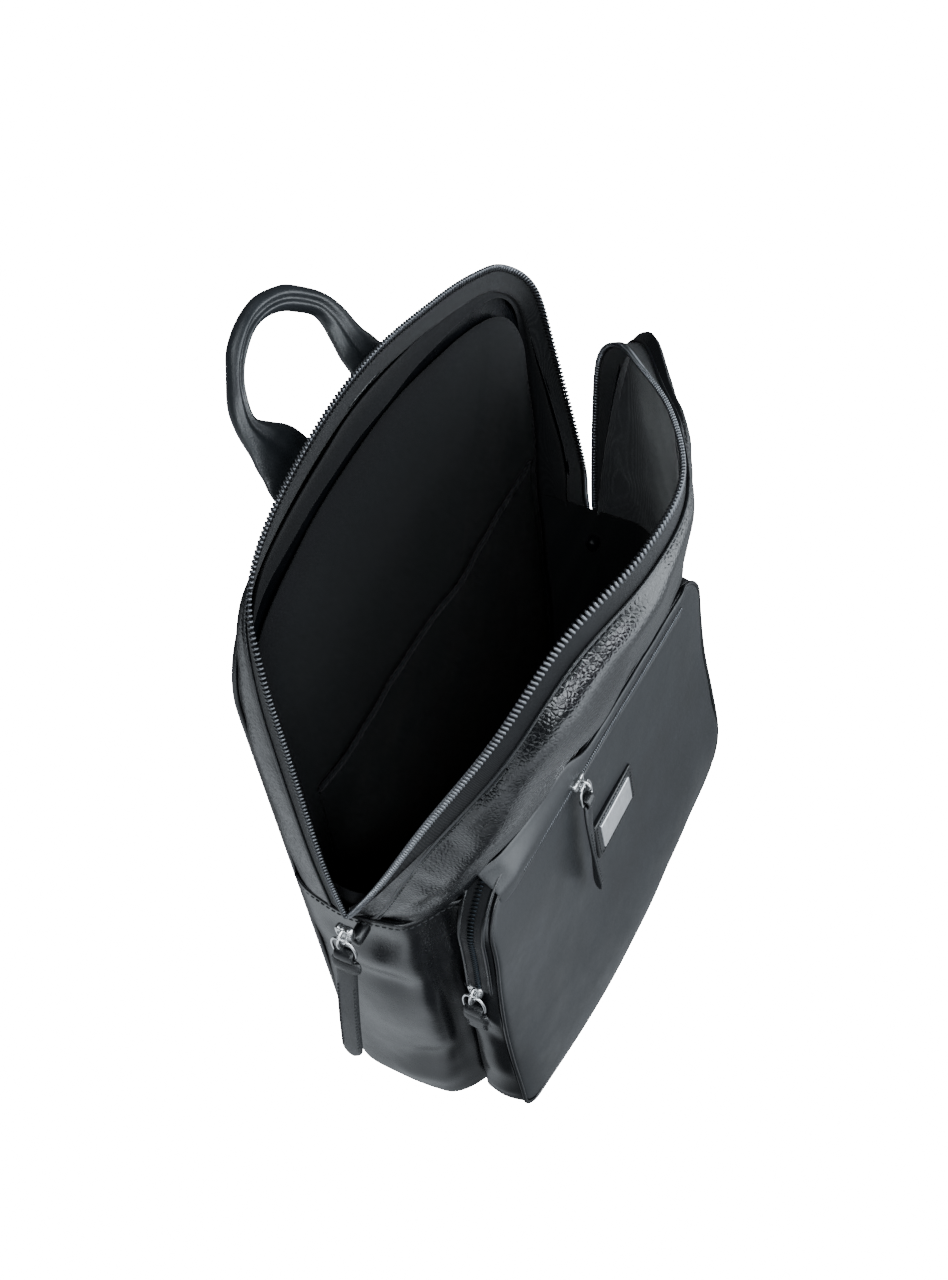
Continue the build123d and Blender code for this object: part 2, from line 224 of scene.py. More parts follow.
def prism(half_length, half_width, height, low=0.0):
    """A small bar along x with bevelled ends and a rounded back."""
    a, b = half_length, half_length * 0.72
    ring = [(half_width, low), (half_width, height * 0.55), (half_width * 0.5, height)]
    ring += [(-half_width * 0.5, height), (-half_width, height * 0.55), (-half_width, low)]
    verts = []
    for x, s in ((-a, 0.45), (-b, 1.0), (b, 1.0), (a, 0.45)):
        verts += [(x, w * s, low + (h - low) * s) for w, h in ring]
    faces = [tuple(reversed(range(6))), tuple(range(18, 24))]
    for i in range(3):
        for j in range(6):
            p, q = i * 6 + j, i * 6 + (j + 1) % 6
            faces.append((p, q, q + 6, p + 6))
    return verts, faces


def along(line, hint, pitch, lift=0.0, shift=0.0):
    """Evenly spaced spots on a line: origin, tangent, side and normal."""
    total = length(line)
    count = max(2, round(total / pitch))
    where, out, run = 0, [], 0.0
    axes = frames(line, hint)
    lengths = [(q - p).length for p, q in zip(line, line[1:])]
    for k in range(count):
        want = (k + 0.5) * total / count
        while where < len(lengths) - 1 and run + lengths[where] < want:
            run += lengths[where]
            where += 1
        f = (want - run) / max(lengths[where], 1e-9)
        p = line[where].lerp(line[where + 1], f)
        t, s, n = axes[where]
        out.append((p + n * lift + s * shift, t, s, n))
    return out


def stitches(name, line, hint, mat, lift=0.0, pitch=3.6, size=1.25):
    verts, faces = prism(size, 0.36, 0.42, low=-0.25)
    return repeated(name, along(line, hint, pitch, lift), verts, faces, mat)


def zip_teeth(name, line, side_dirs, mat, reach=3.0, pitch=1.75):
    """Coil teeth along a line; side_dirs point from each tooth back to its tape."""
    verts, faces = prism(reach / 2, 0.52, 0.95, low=-0.95)
    spots = []
    for (p, t, s, n), k in zip(along(line, side_dirs, pitch), range(10**6)):
        spots.append((p + n * reach * 0.36, n, t, s))
    return repeated(name, spots, verts, faces, mat)


# Materials ----------------------------------------------------------------------------------------------


class Nodes:
    """Builds one node material step by step."""

    def __init__(self, name):
        self.material = bpy.data.materials.new(name)
        self.material.use_nodes = True
        self.tree = self.material.node_tree
        self.shader = self.tree.nodes["Principled BSDF"]
        self.place = self.tree.nodes.new("ShaderNodeTexCoord").outputs["Object"]
        self.normal = None

    def node(self, kind, **inputs):
        made = self.tree.nodes.new(kind)
        for key, value in inputs.items():
            made.inputs[key.replace("_", " ")].default_value = value
        return made

    def link(self, a, b):
        self.tree.links.new(a, b)

    def noise(self, scale, detail=4.0, rough=0.55, stretch=None):
        made = self.node("ShaderNodeTexNoise", Scale=scale, Detail=detail, Roughness=rough)
        self.link(self.stretched(stretch), made.inputs["Vector"])
        return made.outputs["Fac"]

    def stretched(self, stretch):
        if stretch is None:
            return self.place
        made = self.tree.nodes.new("ShaderNodeMapping")
        made.inputs["Scale"].default_value = stretch
        self.link(self.place, made.inputs["Vector"])
        return made.outputs["Vector"]

    def cells(self, scale, feature="DISTANCE_TO_EDGE", warp=0.0):
        made = self.tree.nodes.new("ShaderNodeTexVoronoi")
        made.feature = feature
        made.inputs["Scale"].default_value = scale
        made.inputs["Randomness"].default_value = 1.0
        self.link(self.place, made.inputs["Vector"])
        return made.outputs["Distance"]

    def bump(self, height, distance, strength=1.0):
        made = self.node("ShaderNodeBump", Strength=strength, Distance=distance)
        self.link(height, made.inputs["Height"])
        if self.normal:
            self.link(self.normal, made.inputs["Normal"])
        self.normal = made.outputs["Normal"]

    def ramp(self, fac, stops):
        made = self.tree.nodes.new("ShaderNodeValToRGB")
        self.link(fac, made.inputs["Fac"])
        while len(made.color_ramp.elements) < len(stops):
            made.color_ramp.elements.new(0.5)
        for e, (where, value) in zip(made.color_ramp.elements, stops):
            e.position = where
            e.color = (*(value if isinstance(value, tuple) else (value,) * 3), 1)
        return made.outputs["Color"]

    def done(self, **sockets):
        for key, value in sockets.items():
            socket = self.shader.inputs[key.replace("_", " ")]
            if isinstance(value, bpy.types.NodeSocket):
                self.link(value, socket)
            else:
                socket.default_value = value
        if self.normal:
            self.link(self.normal, self.shader.inputs["Normal"])
        return self.material


def tint(color, k):
    return tuple(min(1.0, c * k) for c in color)


def leather(name, color, rough, grain=900.0, depth=0.0001, folds=0.0006, sheen=0.0):
    """Leather with a pebbled grain, fine creases, and a polish that varies from place to place."""
    m = Nodes(name)
    broad = m.noise(28.0, 3.0)
    fine = m.noise(grain * 0.9, 4.0, 0.6)
    m.bump(m.noise(95.0, 4.0, 0.5), folds, 0.5)
    m.bump(m.ramp(m.cells(grain), ((0.0, 0.0), (0.3, 1.0))), depth, 0.9)
    m.bump(fine, depth * 0.5, 0.5)
    colour = m.ramp(broad, ((0.3, tint(color, 0.72)), (0.7, tint(color, 1.25))))
    polish = m.ramp(m.noise(60.0, 5.0, 0.65), ((0.25, rough - 0.07), (0.8, rough + 0.1)))
    return m.done(Base_Color=colour, Roughness=polish, Specular_IOR_Level=0.5, Coat_Weight=sheen, Coat_Roughness=0.32)


def cloth(name, color, thread, rough=0.9, depth=0.00018, sheen=0.25):
    """Woven cloth: two crossed sets of threads with uneven colour."""
    m = Nodes(name)
    over = m.tree.nodes.new("ShaderNodeTexWave")
    over.bands_direction = "X"
    under = m.tree.nodes.new("ShaderNodeTexWave")
    under.bands_direction = "Z"
    cross = m.tree.nodes.new("ShaderNodeMath")
    cross.operation = "MULTIPLY"
    for i, wave in enumerate((over, under)):
        wave.inputs["Scale"].default_value = thread
        wave.inputs["Distortion"].default_value = 0.6
        m.link(m.place, wave.inputs["Vector"])
        m.link(wave.outputs["Fac"], cross.inputs[i])
    m.bump(m.noise(40.0, 4.0), 0.0012, 0.3)
    m.bump(cross.outputs[0], depth, 0.6)
    colour = m.ramp(m.noise(55.0, 4.0), ((0.25, tint(color, 0.7)), (0.8, tint(color, 1.35))))
    return m.done(Base_Color=colour, Roughness=rough, Sheen_Weight=sheen, Sheen_Roughness=0.5, Specular_IOR_Level=0.25)


def metal(name, color, rough, scratch=0.00004):
    m = Nodes(name)
    lines = m.noise(900.0, 3.0, 0.6, (1.0, 1.0, 0.08))
    m.bump(lines, scratch, 0.3)
    colour = m.ramp(m.noise(300.0), ((0.3, tint(color, 0.82)), (0.75, color)))
    polish = m.ramp(lines, ((0.3, rough), (0.8, rough + 0.12)))
    return m.done(Base_Color=colour, Roughness=polish, Metallic=1.0)


BLACK = (0.0018, 0.0022, 0.0030)
shell_leather = leather("shell_leather", BLACK, 0.25, grain=1000.0, depth=0.000025, folds=0.0003)
yoke_leather = leather("yoke_leather", (0.0020, 0.0024, 0.0032), 0.24, grain=470.0, depth=0.00011, folds=0.0007)
pocket_leather = leather("pocket_leather", (0.0068, 0.0079, 0.0095), 0.42, grain=1300.0, depth=0.00002, folds=0.0002)
trim_leather = leather("trim_leather", (0.0022, 0.0026, 0.0036), 0.30, grain=1300.0, depth=0.00003, folds=0.0003)
handle_leather = leather("handle_leather", (0.0120, 0.0140, 0.0162), 0.36, grain=900.0, depth=0.00005, folds=0.0005)
strap_leather = leather("strap_leather", (0.0034, 0.0038, 0.0046), 0.36, grain=900.0, depth=0.0001, folds=0.0008)
pull_leather = leather("pull_leather", (0.003, 0.0036, 0.0048), 0.34, grain=900.0, depth=0.00008, folds=0.0002)
lining_cloth = cloth("lining_cloth", (0.0012, 0.0014, 0.0022), 520.0, rough=0.86, sheen=0.03)
# The lining cloth again, painted much lighter: painted light where the lamps fall on the inside of the yoke.
yoke_lining_painted_light = cloth("yoke_lining_painted_light", (0.016, 0.017, 0.019), 520.0, rough=0.8, sheen=0.3)
tape_cloth = cloth("tape_cloth", (0.0040, 0.0045, 0.0055), 900.0, rough=0.8, depth=0.0002, sheen=0.08)
webbing_cloth = cloth("webbing_cloth", (0.008, 0.0085, 0.010), 420.0, rough=0.8, depth=0.0003)
thread = cloth("thread", (0.012, 0.013, 0.015), 1400.0, rough=0.6, depth=0.00005, sheen=0.1)
coil_metal = metal("coil_metal", (0.13, 0.135, 0.145), 0.28)
coil_dark = metal("coil_dark", (0.022, 0.027, 0.032), 0.42)
nickel = metal("nickel", (0.74, 0.745, 0.75), 0.16)
plate_metal = metal("plate_metal", (0.80, 0.81, 0.83), 0.36, scratch=0.00008)
foam_grey = cloth("foam_grey", (0.28, 0.28, 0.29), 700.0)
board_black = leather("board_black", (0.05, 0.05, 0.05), 0.6)
rope = cloth("rope", (0.5, 0.46, 0.38), 300.0)


def place(obj, body, slot, *nodes, blend=None):
    """Parents a finished piece to the empty of the body it moves with, or only bakes its transform when a blend is
    given, and hides the CAD nodes it stands for. The slot argument is not used.
    """
    if blend:
        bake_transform(obj)
    else:
        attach(obj, body)
    if nodes:
        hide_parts(*nodes)
    return obj


# The two sides of the open main zip ---------------------------------------------------------------------

BACK_RIM = vecs([
    (-161, 2, 211), (-163, 4, 262), (-157, 10, 330), (-150, 17, 384), (-134, 27, 411), (-98, 36, 423),
    (-46, 39, 434), (0, 39, 436), (50, 39, 427), (90, 39, 416), (121, 37, 402), (140, 29, 377),
    (141, 20, 335), (132, 3, 272), (140.5, 6, 232), (144, 6.5, 211),
])  # fmt: skip
BACK_FOOT = vecs([
    (-146, 41, 207), (-146, 42, 262), (-145, 42, 325), (-139, 42, 360), (-123, 42, 382), (-94, 42, 393),
    (-46, 42, 402), (0, 42, 404), (48, 42, 402), (86, 42, 396), (116, 42, 385), (137, 42, 362),
    (144, 42, 326), (145, 42, 266), (146, 41, 228), (146, 41, 206),
])  # fmt: skip
FRONT_RIM = vecs([
    (-161, 2, 211), (-158, -22, 254), (-152, -52, 313), (-136, -83, 369), (-104, -103, 409), (-62, -119, 423), (-16, -118, 423),
    (34, -92, 413), (78, -57, 396), (112, -29, 376), (133, -8, 345), (140, 0, 296), (141, 4, 232), (144, 4.5, 211),
])
FRONT_UPPER = vecs([
    (-159, 0, 210), (-158, -25, 247), (-154, -58, 296), (-141, -95, 346), (-108, -118, 377),
    (-62, -127, 388), (-16, -121, 392), (34, -101, 386), (82, -75, 380), (124, -48, 374),
    (144, -26, 340), (146, -12, 284), (144, -1, 228), (145.5, 0, 210),
])  # fmt: skip
FRONT_MID = vecs([
    (-157, -1, 209), (-157, -24, 230), (-154, -50, 262), (-146, -76, 292), (-113, -93, 308),
    (-66, -99, 316), (-22, -104, 319), (32, -97, 316), (78, -82, 311), (114, -63, 301),
    (138, -40, 282), (146, -20, 252), (145.5, -3, 224), (146, -2, 209),
])  # fmt: skip
FRONT_LOW = vecs([
    (-156, -2, 208), (-154, -19, 215), (-151, -34, 226), (-143, -48, 233), (-118, -58, 236),
    (-72, -65, 238), (-30, -66, 239), (24, -72, 240), (72, -75, 240), (108, -69, 238),
    (131, -55, 235), (143, -32, 229), (145.5, -8, 219), (146, -4, 208),
])  # fmt: skip
FRONT_SEAM = vecs([
    (-155, -3, 206), (-152, -14, 206), (-149.5, -25, 206), (-141, -36, 208), (-120, -48, 211),
    (-78, -57, 214), (-38, -60, 215), (10, -63, 215), (60, -66, 215), (100, -66, 214),
    (128, -56, 212), (142, -34, 210), (145.5, -12, 208), (146, -6, 206),
])  # fmt: skip
LEATHER_EDGE = 12.0

YOKE_BLEND = ((0, -58, 218), (0, -80, 300))


def zip_side(name, rim, foot, body, blend, skin, nodes):
    """Leather lip, tape, teeth and stitching along one side of the main zip."""
    ts = even(rim, 190)
    line = [at(rim, t) for t in ts]
    feet = [at(foot, t) for t in ts]
    inward = [(f - p).normalized() for f, p in zip(feet, line)]
    tangents = [t for t, s, n in frames(line, Vector((0, 0, 1)))]
    out = []
    for p, t, d in zip(line, tangents, inward):
        n = t.cross(d).normalized()
        out.append(n if n.dot(p - MIDDLE) > 0 else -n)
    rows = [
        [p + d * w - n * (1.1 + 0.2 * math.sin(w)) for w in (15.5, 12, 8, 4, 1.6)]
        for p, d, n in zip(line, inward, out)
    ]
    tape = grid(name + "_tape", rows, tape_cloth, thick=0.7, offset=0, levels=1)
    place(tape, body, "zip_tape", nodes[0], blend=blend)
    teeth_line = [p + d * 0.4 - n * 0.9 for p, d, n in zip(line, inward, out)]
    verts, faces = prism(1.8, 0.62, 1.3, low=-1.2)
    spots = [(p + n * 0.9, n, t, t.cross(n).normalized()) for p, t, s, n in along(teeth_line, inward, 2.35)]
    teeth = repeated(name + "_teeth", spots, verts, faces, coil_metal)
    place(teeth, body, "zip_coil", nodes[1], blend=blend)
    fold_line = [p + d * (LEATHER_EDGE + 0.5) + n * 0.2 for p, d, n in zip(line, inward, out)]
    fold = sweep(name + "_leather_fold", fold_line, round_section(0.95, 8), out, pull_leather)
    place(fold, body, skin, blend=blend)
    stitch_line = [p + d * (LEATHER_EDGE + 2.6) + n * 0.15 for p, d, n in zip(line, inward, out)]
    sewn = stitches(name + "_stitches", stitch_line, out, thread, lift=0.1)
    place(sewn, body, skin, blend=blend)
    return line, inward, out, ts


def gusset_rows(inset, lip, low=0.0):
    rows = []
    for t in even(BACK_RIM, 170):
        rim, foot = at(BACK_RIM, t), at(BACK_FOOT, t)
        d = (foot - rim).normalized()
        tangent = at(BACK_RIM, min(t + 0.02, 15)) - at(BACK_RIM, max(t - 0.02, 0))
        n = tangent.cross(d).normalized()
        n = n if n.dot(rim - MIDDLE) > 0 else -n
        edge = rim + d * lip
        row = []
        for k in range(9):
            f = low + (1 - low) * k / 8
            puff = math.sin(math.pi * f) * 2.6 + 0.9 * math.exp(-(((f - 0.93) / 0.06) ** 2))
            puff += 4.5 * math.exp(-(((rim.x - 70) / 38) ** 2) - ((f - 0.86) / 0.16) ** 2)
            row.append(foot.lerp(edge, f) + n * (puff - inset))
        rows.append(row)
    return rows


gusset = grid("back_gusset_leather", gusset_rows(0, LEATHER_EDGE), yoke_leather, thick=2.2, levels=1)
sculpt(gusset, lambda p: waves(p, 34, 1.3) + waves(p, 11, 0.35, 3))
place(gusset, "bag", "yoke_leather", "upper_back_gusset")
gusset_in = grid("back_gusset_lining", gusset_rows(3.4, LEATHER_EDGE + 1.5), lining_cloth, thick=0.6, levels=1)
sculpt(gusset_in, lambda p: waves(p, 30, 1.0, 5) - 0.4)
place(gusset_in, "bag", "lining", "gusset_lining")
zip_side("back_zip", BACK_RIM, BACK_FOOT, "bag", None, "zip_tape", ("back_zip_tape", "back_zip_coil"))


def yoke_rows(columns, lip, start=0.0):
    rows = []
    for t in even(FRONT_RIM, 170):
        rim, upper = at(FRONT_RIM, t), at(FRONT_UPPER, t)
        edge = rim + (upper - rim).normalized() * min(lip, 0.6 * (upper - rim).length)
        cross = [at(FRONT_SEAM, t), at(FRONT_LOW, t), at(FRONT_MID, t), upper.lerp(edge, 0.12), edge]
        rows.append([at(cross, 4 * (start + (1 - start) * k / (columns - 1))) for k in range(columns)])
    return rows


def yoke_folds(p):
    fold = waves(p, 46, 2.2, 1) + waves(p, 17, 0.7, 2) + waves(p, 8, 0.22, 4)
    fold += crease(p, (-141, -88, 352), (-86, -92, 298), 11, -4.2)
    fold += crease(p, (-118, -114, 372), (-72, -108, 338), 16, 2.4)
    fold += crease(p, (-44, -116, 340), (-24, -88, 250), 9, -2.2)
    fold += crease(p, (-152, -38, 232), (-145, -74, 292), 5, -3.0)
    fold += crease(p, (-151, -48, 250), (-147, -66, 276), 5, 2.2)
    fold += crease(p, (-153, -30, 222), (-150, -50, 246), 5, 1.8)
    fold += crease(p, (40, -96, 330), (70, -84, 246), 9, -2.0)
    fold += crease(p, (96, -70, 330), (112, -68, 250), 9, 2.0)
    return fold


yoke = grid("front_yoke_leather", yoke_rows(48, LEATHER_EDGE), yoke_leather, thick=2.2, levels=1)
sculpt(yoke, yoke_folds)
place(yoke, "yoke", "yoke_leather", "front_yoke", blend=YOKE_BLEND)
yoke_in = grid("front_yoke_lining", yoke_rows(30, LEATHER_EDGE + 1.5), yoke_lining_painted_light, thick=0.6, levels=1)
sculpt(yoke_in, lambda p: yoke_folds(p) - 3.6)
place(yoke_in, "yoke", "lining", "yoke_lining", blend=YOKE_BLEND)
zip_side("front_zip", FRONT_RIM, FRONT_UPPER, "yoke", YOKE_BLEND, "zip_tape", ("front_zip_tape", "front_zip_coil"))

# Lower body ---------------------------------------------------------------------------------------------

PLAN_LOW = vecs([
    (-144, 42, 0), (-149, 30, 0), (-150, 7, 0), (-149, -14, 0), (-145, -28, 0), (-128, -40, 0), (-100, -44, 0),
    (0, -44, 0), (100, -44, 0), (131, -43, 0), (141, -33, 0), (142, -10, 0), (143, 20, 0), (144, 42, 0),
])  # fmt: skip
PLAN_HIGH = vecs([
    (-146, 42, 0), (-152, 30, 0), (-156, 6, 0), (-153.5, -12, 0), (-149, -26, 0), (-131, -38, 0), (-112, -47, 0),
    (0, -51, 0), (112, -50, 0), (133, -43, 0), (143, -30, 0), (145, -8, 0), (146, 20, 0), (146, 42, 0),
])  # fmt: skip


def tub_rows(inset, bottom, top, count=150):
    levels = [0, 1.2, 2.6, 4.4, 6.8] + [10 + 3.8 * k for k in range(51)] + [203, 205.5, 208]
    rows = []
    for z in levels:
        share = z / 208
        foot_round = 5.5 * math.exp(-z / 2.6)
        row = []
        for t in even(PLAN_HIGH, count):
            p = at(PLAN_LOW, t).lerp(at(PLAN_HIGH, t), share)
            toward = Vector((-p.x, -p.y * 1.6, 0)).normalized()
            p = p + toward * (inset + foot_round)
            p.z = bottom + (top - bottom) * share
            row.append(p)
        rows.append(row)
    return rows


def body_folds(p):
    """Soft folds of the side panels, strongest on the near one."""
    fold = waves(p, 60, 2.2, 6) * min(1, p.z / 40) + waves(p, 21, 0.5, 7)
    fold += crease(p, (-155, -30, 186), (-156, 30, 190), 12, -1.6)
    fold += crease(p, (-154, -30, 158), (-155, 22, 162), 13, 2.4)
    fold += crease(p, (-153, -28, 142), (-153, 22, 136), 11, -2.6)
    fold += crease(p, (-151, -24, 104), (-152, 24, 92), 20, 2.4)
    fold += crease(p, (-146, -34, 66), (-150, 0, 40), 9, -3.4)
    fold += crease(p, (-148, -34, 30), (-150, 12, 18), 9, 2.4)
    fold += crease(p, (-143, -34, 210), (-137, -36, 8), 6, -4.0)
    fold += crease(p, (145, -20, 190), (144, -24, 60), 10, -2.0) + crease(p, (145, 20, 170), (144, 10, 60), 12, 2.0)
    return fold if abs(p.x) > 120 else fold * 0.3


body = grid("lower_body_leather", tub_rows(0, 0.6, 208), shell_leather, thick=2.4, levels=1)
sculpt(body, lambda p: body_folds(p) * (1 if p.z > 6 else 0))
place(body, "bag", "shell_leather", "left_side_panel", "right_side_panel", "front_panel", "front_facing", "right_front_gusset")
body_in = grid("lower_body_lining", tub_rows(5.0, 5.5, 222), lining_cloth, thick=0.6, levels=1)
place(body_in, "bag", "lining")

seam_top = [p + Vector((0, 0, 0.2)) for p in tub_rows(-0.4, 0.6, 207)[-1]]
welt = sweep("waist_seam_welt", seam_top, round_section(1.25, 8), Vector((0, 0, 1)), trim_leather, levels=1)
place(welt, "bag", "trim_leather")
sewn_line = [p + Vector((0, 0, -3.4)) for p in tub_rows(-0.9, 0.6, 207)[-1]]
sewn_out = [Vector((p.x, p.y * 1.6, 0)).normalized() for p in sewn_line]
place(stitches("waist_stitches", sewn_line, sewn_out, thread, lift=0.0), "bag", "shell_leather")


def rings(name, outline, hub, surface, steps, mat, **kw):
    """A panel made of shrinking copies of its outline; steps are (scale, extra depth) pairs."""
    cx, cz = hub
    rows = []
    for scale, depth in steps:
        row = []
        for x, z in outline:
            px, pz = cx + (x - cx) * scale, cz + (z - cz) * scale
            row.append(Vector((px, surface(px, pz) + depth, pz)))
        rows.append(row)
    return grid(name, rows, mat, wrap=True, cap=True, **kw)


def rounded(points, radii, per_corner=7, per_side=26):
    """Closed outline with rounded corners, as (x, z) pairs, evenly divided along the sides."""
    out, n = [], len(points)
    for i, (corner, r) in enumerate(zip(points, radii)):
        p, a, b = Vector(corner), Vector(points[i - 1]), Vector(points[(i + 1) % n])
        u, v = (a - p).normalized(), (b - p).normalized()
        half = u.angle(v) / 2
        cut = r / math.tan(half)
        s, e = p + u * cut, p + v * cut
        mid = p + (u + v).normalized() * (r / math.sin(half))
        for k in range(per_corner + 1):
            q = s.lerp(e, k / per_corner) - mid
            out.append(mid + q.normalized() * r)
        nxt, rn = Vector(points[(i + 1) % n]), radii[(i + 1) % n]
        w = Vector(points[(i + 2) % n]) - nxt
        cut_next = rn / math.tan((p - nxt).angle(w) / 2)
        stop = nxt + (p - nxt).normalized() * cut_next
        for k in range(1, per_side):
            out.append(e.lerp(stop, k / per_side))
    return [(q.x, q.y) for q in out]


BACK_OUTLINE = rounded([(-145, 1), (145, 1), (144.5, 380), (0, 424), (-144.5, 380)], [10, 10, 55, 330, 55], 9, 30)
EDGE_STEPS = [(1.0, -2.6), (0.996, -0.9), (0.988, 0.0), (0.97, 0.5), (0.93, 0.9), (0.85, 1.4)]
back_out = rings(
    "back_panel_leather", BACK_OUTLINE, (0, 200), lambda x, z: 43.6,
    EDGE_STEPS + [(s, 1.8) for s in (0.75, 0.6, 0.45, 0.3, 0.15, 0.03)], shell_leather, thick=2.4, levels=1,
)  # fmt: skip
sculpt(back_out, lambda p: waves(p, 60, 1.4, 9) + waves(p, 20, 0.5, 10))
place(back_out, "bag", "shell_leather", "back_panel")
edge_line = [Vector((x, 42.6, z)) for x, z in BACK_OUTLINE]
welt = sweep("back_edge_piping", edge_line, round_section(1.7, 8), Vector((0, 1, 0)), trim_leather, closed=True)
place(welt, "bag", "trim_leather")
quilt = [Vector((x * 0.90, 45.6, 200 + (z - 200) * 0.92)) for x, z in BACK_OUTLINE]
place(stitches("back_panel_stitches", quilt + quilt[:1], Vector((0, 1, 0)), thread, lift=0.0), "bag", "shell_leather")
floor_outline = [(x * 0.985, z) for x, z in rounded([(-142, -39), (139, -40), (140, 41), (-143, 41)], [24, 16, 12, 12])]
rows = [[Vector((x * s, z * s, 0.5 if s > 0.97 else 0.9)) for x, z in floor_outline] for s in (1, 0.97, 0.9, 0.6, 0.3, 0.03)]
base = grid("base_leather", rows, shell_leather, thick=2.2, levels=1, wrap=True, cap=True, centre=Vector((0, 0, 100)))
place(base, "bag", "shell_leather", "bottom_panel", "bottom_board")
rows = [[Vector((x * s * 0.96, z * s * 0.88, 6.5)) for x, z in floor_outline] for s in (1, 0.9, 0.6, 0.3, 0.03)]
place(grid("base_lining", rows, lining_cloth, thick=0.6, wrap=True, cap=True, centre=Vector((0, 0, -100))), "bag", "lining")


def lining_wave(x, z):
    p = Vector((x, 0, z))
    return 34.0 + waves(p, 48, 2.6, 11) + waves(p, 18, 0.8, 12) + crease(p, (-60, 0, 150), (60, 0, 330), 20, -1.5)


LINING_OUTLINE = [(x * 0.945, 200 + (z - 200) * 0.945) for x, z in BACK_OUTLINE]
back_in = rings(
    "back_lining_cloth", LINING_OUTLINE, (0, 200), lining_wave,
    [(1.0, 5.5), (0.985, 2.0), (0.96, 0.4), (0.9, 0)] + [(s, 0) for s in (0.8, 0.7, 0.6, 0.5, 0.4, 0.3, 0.2, 0.1, 0.03)],
    lining_cloth, thick=0.6, levels=1, centre=Vector((0, 60, 200)),
)  # fmt: skip
place(back_in, "bag", "lining", "back_lining", "back_foam")

SLEEVE_TOP = [(-122, 252), (-80, 262), (-30, 266), (30, 268), (80, 268), (122, 266)]
sleeve_edge = curve([(x, 0, z) for x, z in SLEEVE_TOP], 60)
rows = []
for k in range(24):
    f = k / 23
    row = []
    for p in sleeve_edge:
        side = 1 - (abs(p.x) / 122) ** 6
        slack = 5.2 * side * (0.45 + 0.55 * f) + 1.0
        y = lining_wave(p.x, 12 + (p.z - 12) * f) - slack + waves(Vector((p.x, 0, p.z * f)), 26, 0.8, 13)
        row.append(Vector((p.x, y, 12 + (p.z - 12) * f)))
    rows.append(row)
sleeve = grid("laptop_sleeve_cloth", rows, lining_cloth, thick=0.7, levels=1, centre=Vector((0, 60, 150)))
place(sleeve, "bag", "lining", "laptop_sleeve")
hem_line = [p + Vector((0, -0.5, 0)) for p in rows[-1]]
place(sweep("laptop_sleeve_hem", hem_line, slab_section(1.6, 5.0), Vector((0, 0, 1)), tape_cloth), "bag", "lining")

# Front pocket -------------------------------------------------------------------------------------------

FACE_X = [-134, -60, 0, 60, 131]
FACE_Z = [2, 30, 60, 95, 135, 175, 214]
FACE_Y = [
    [-71, -69, -66, -64, -64, -65, -62],
    [-79, -80, -78, -74, -70, -67, -64],
    [-81, -84, -82, -76, -71, -68, -66],
    [-79, -84, -84, -78, -73, -70, -68],
    [-76, -82, -84, -80, -74, -71, -70],
]


def spread(values, x):
    """Parameter of x in a rising list."""
    x = max(values[0], min(values[-1], x))
    for i in range(len(values) - 1):
        if x <= values[i + 1]:
            return i + (x - values[i]) / (values[i + 1] - values[i])
    return len(values) - 1


def face_y(x, z):
    t = spread(FACE_Z, z)
    return at([at(column, t) for column in FACE_Y], spread(FACE_X, x))


POCKET = rounded([(-136, 3), (132, 3), (128, 215), (-132, 215)], [13, 13, 29, 29], 10, 56)
CENTRE = (-2, 108)
face_steps = [(1.0, 2.2), (0.994, 0.5), (0.985, -0.2), (0.96, -0.6), (0.92, -0.9)]
face_steps += [(s, -1.1) for s in (0.88, 0.82, 0.76, 0.7, 0.63, 0.56, 0.49, 0.42, 0.35, 0.28, 0.2, 0.12, 0.05, 0.03)]
face = rings("pocket_face_leather", POCKET, CENTRE, face_y, face_steps, pocket_leather, thick=2.2, levels=1)


LABEL_X, LABEL_Z = -6, 142


def face_folds(p):
    """Soft folds of the pocket's face, quiet where the label is sewn on."""
    flat = math.exp(-(((p.x - LABEL_X) / 44) ** 2) - ((p.z - LABEL_Z) / 30) ** 2)
    fold = (waves(p, 70, 2.2, 14) + waves(p, 26, 0.7, 15)) * (1 - flat)
    fold += crease(p, (-132, -70, 60), (-100, -76, 20), 12, 1.5) + crease(p, (128, -72, 110), (104, -76, 40), 16, -1.4)
    return fold


sculpt(face, face_folds)
place(face, "bag", "pocket_leather", "pocket_face")

edge = [Vector((x, face_y(x, z) + 1.0, z)) for x, z in POCKET]
piping = sweep("pocket_piping_cord", edge, round_section(1.35, 8), Vector((0, 1, 0)), trim_leather, closed=True)
place(piping, "bag", "trim_leather", "pocket_piping")

def wall_point(x, z, f):
    """Point on the pocket's side wall: f runs from its face to the body."""
    rear = -43.0
    front = face_y(x, z) + 2.0
    y = front + (rear - front) * f
    out = Vector((x - CENTRE[0], 0, z - CENTRE[1]))
    if abs(out.x) / 130 > abs(out.z) / 104:
        out = Vector((out.x, 0, out.z * 0.12)).normalized()
    else:
        out = Vector((out.x * 0.12, 0, out.z)).normalized()
    swell = 3.4 * math.sin(math.pi * f) if x < 0 and z > 20 else 2.0 * math.sin(math.pi * f)
    return Vector((x, y, z)) + out * (swell if z > 10 else 0.0), out


rows = []
for k in range(12):
    rows.append([wall_point(x, z, k / 11)[0] for x, z in POCKET])
seam_cross = [wall_point(-135.5, 138.5, 0.5 + 0.5 * k / 11) for k in range(12)]
seam_line = [p + out * 0.4 for p, out in seam_cross]
made = sweep("pocket_zip_end_seam", seam_line, round_section(0.7, 6), seam_cross[0][1], trim_leather)
place(made, "bag", "trim_leather")
wall = grid("pocket_wall_leather", rows, shell_leather, thick=2.2, levels=1, wrap=True, centre=Vector((-2, -60, 108)))


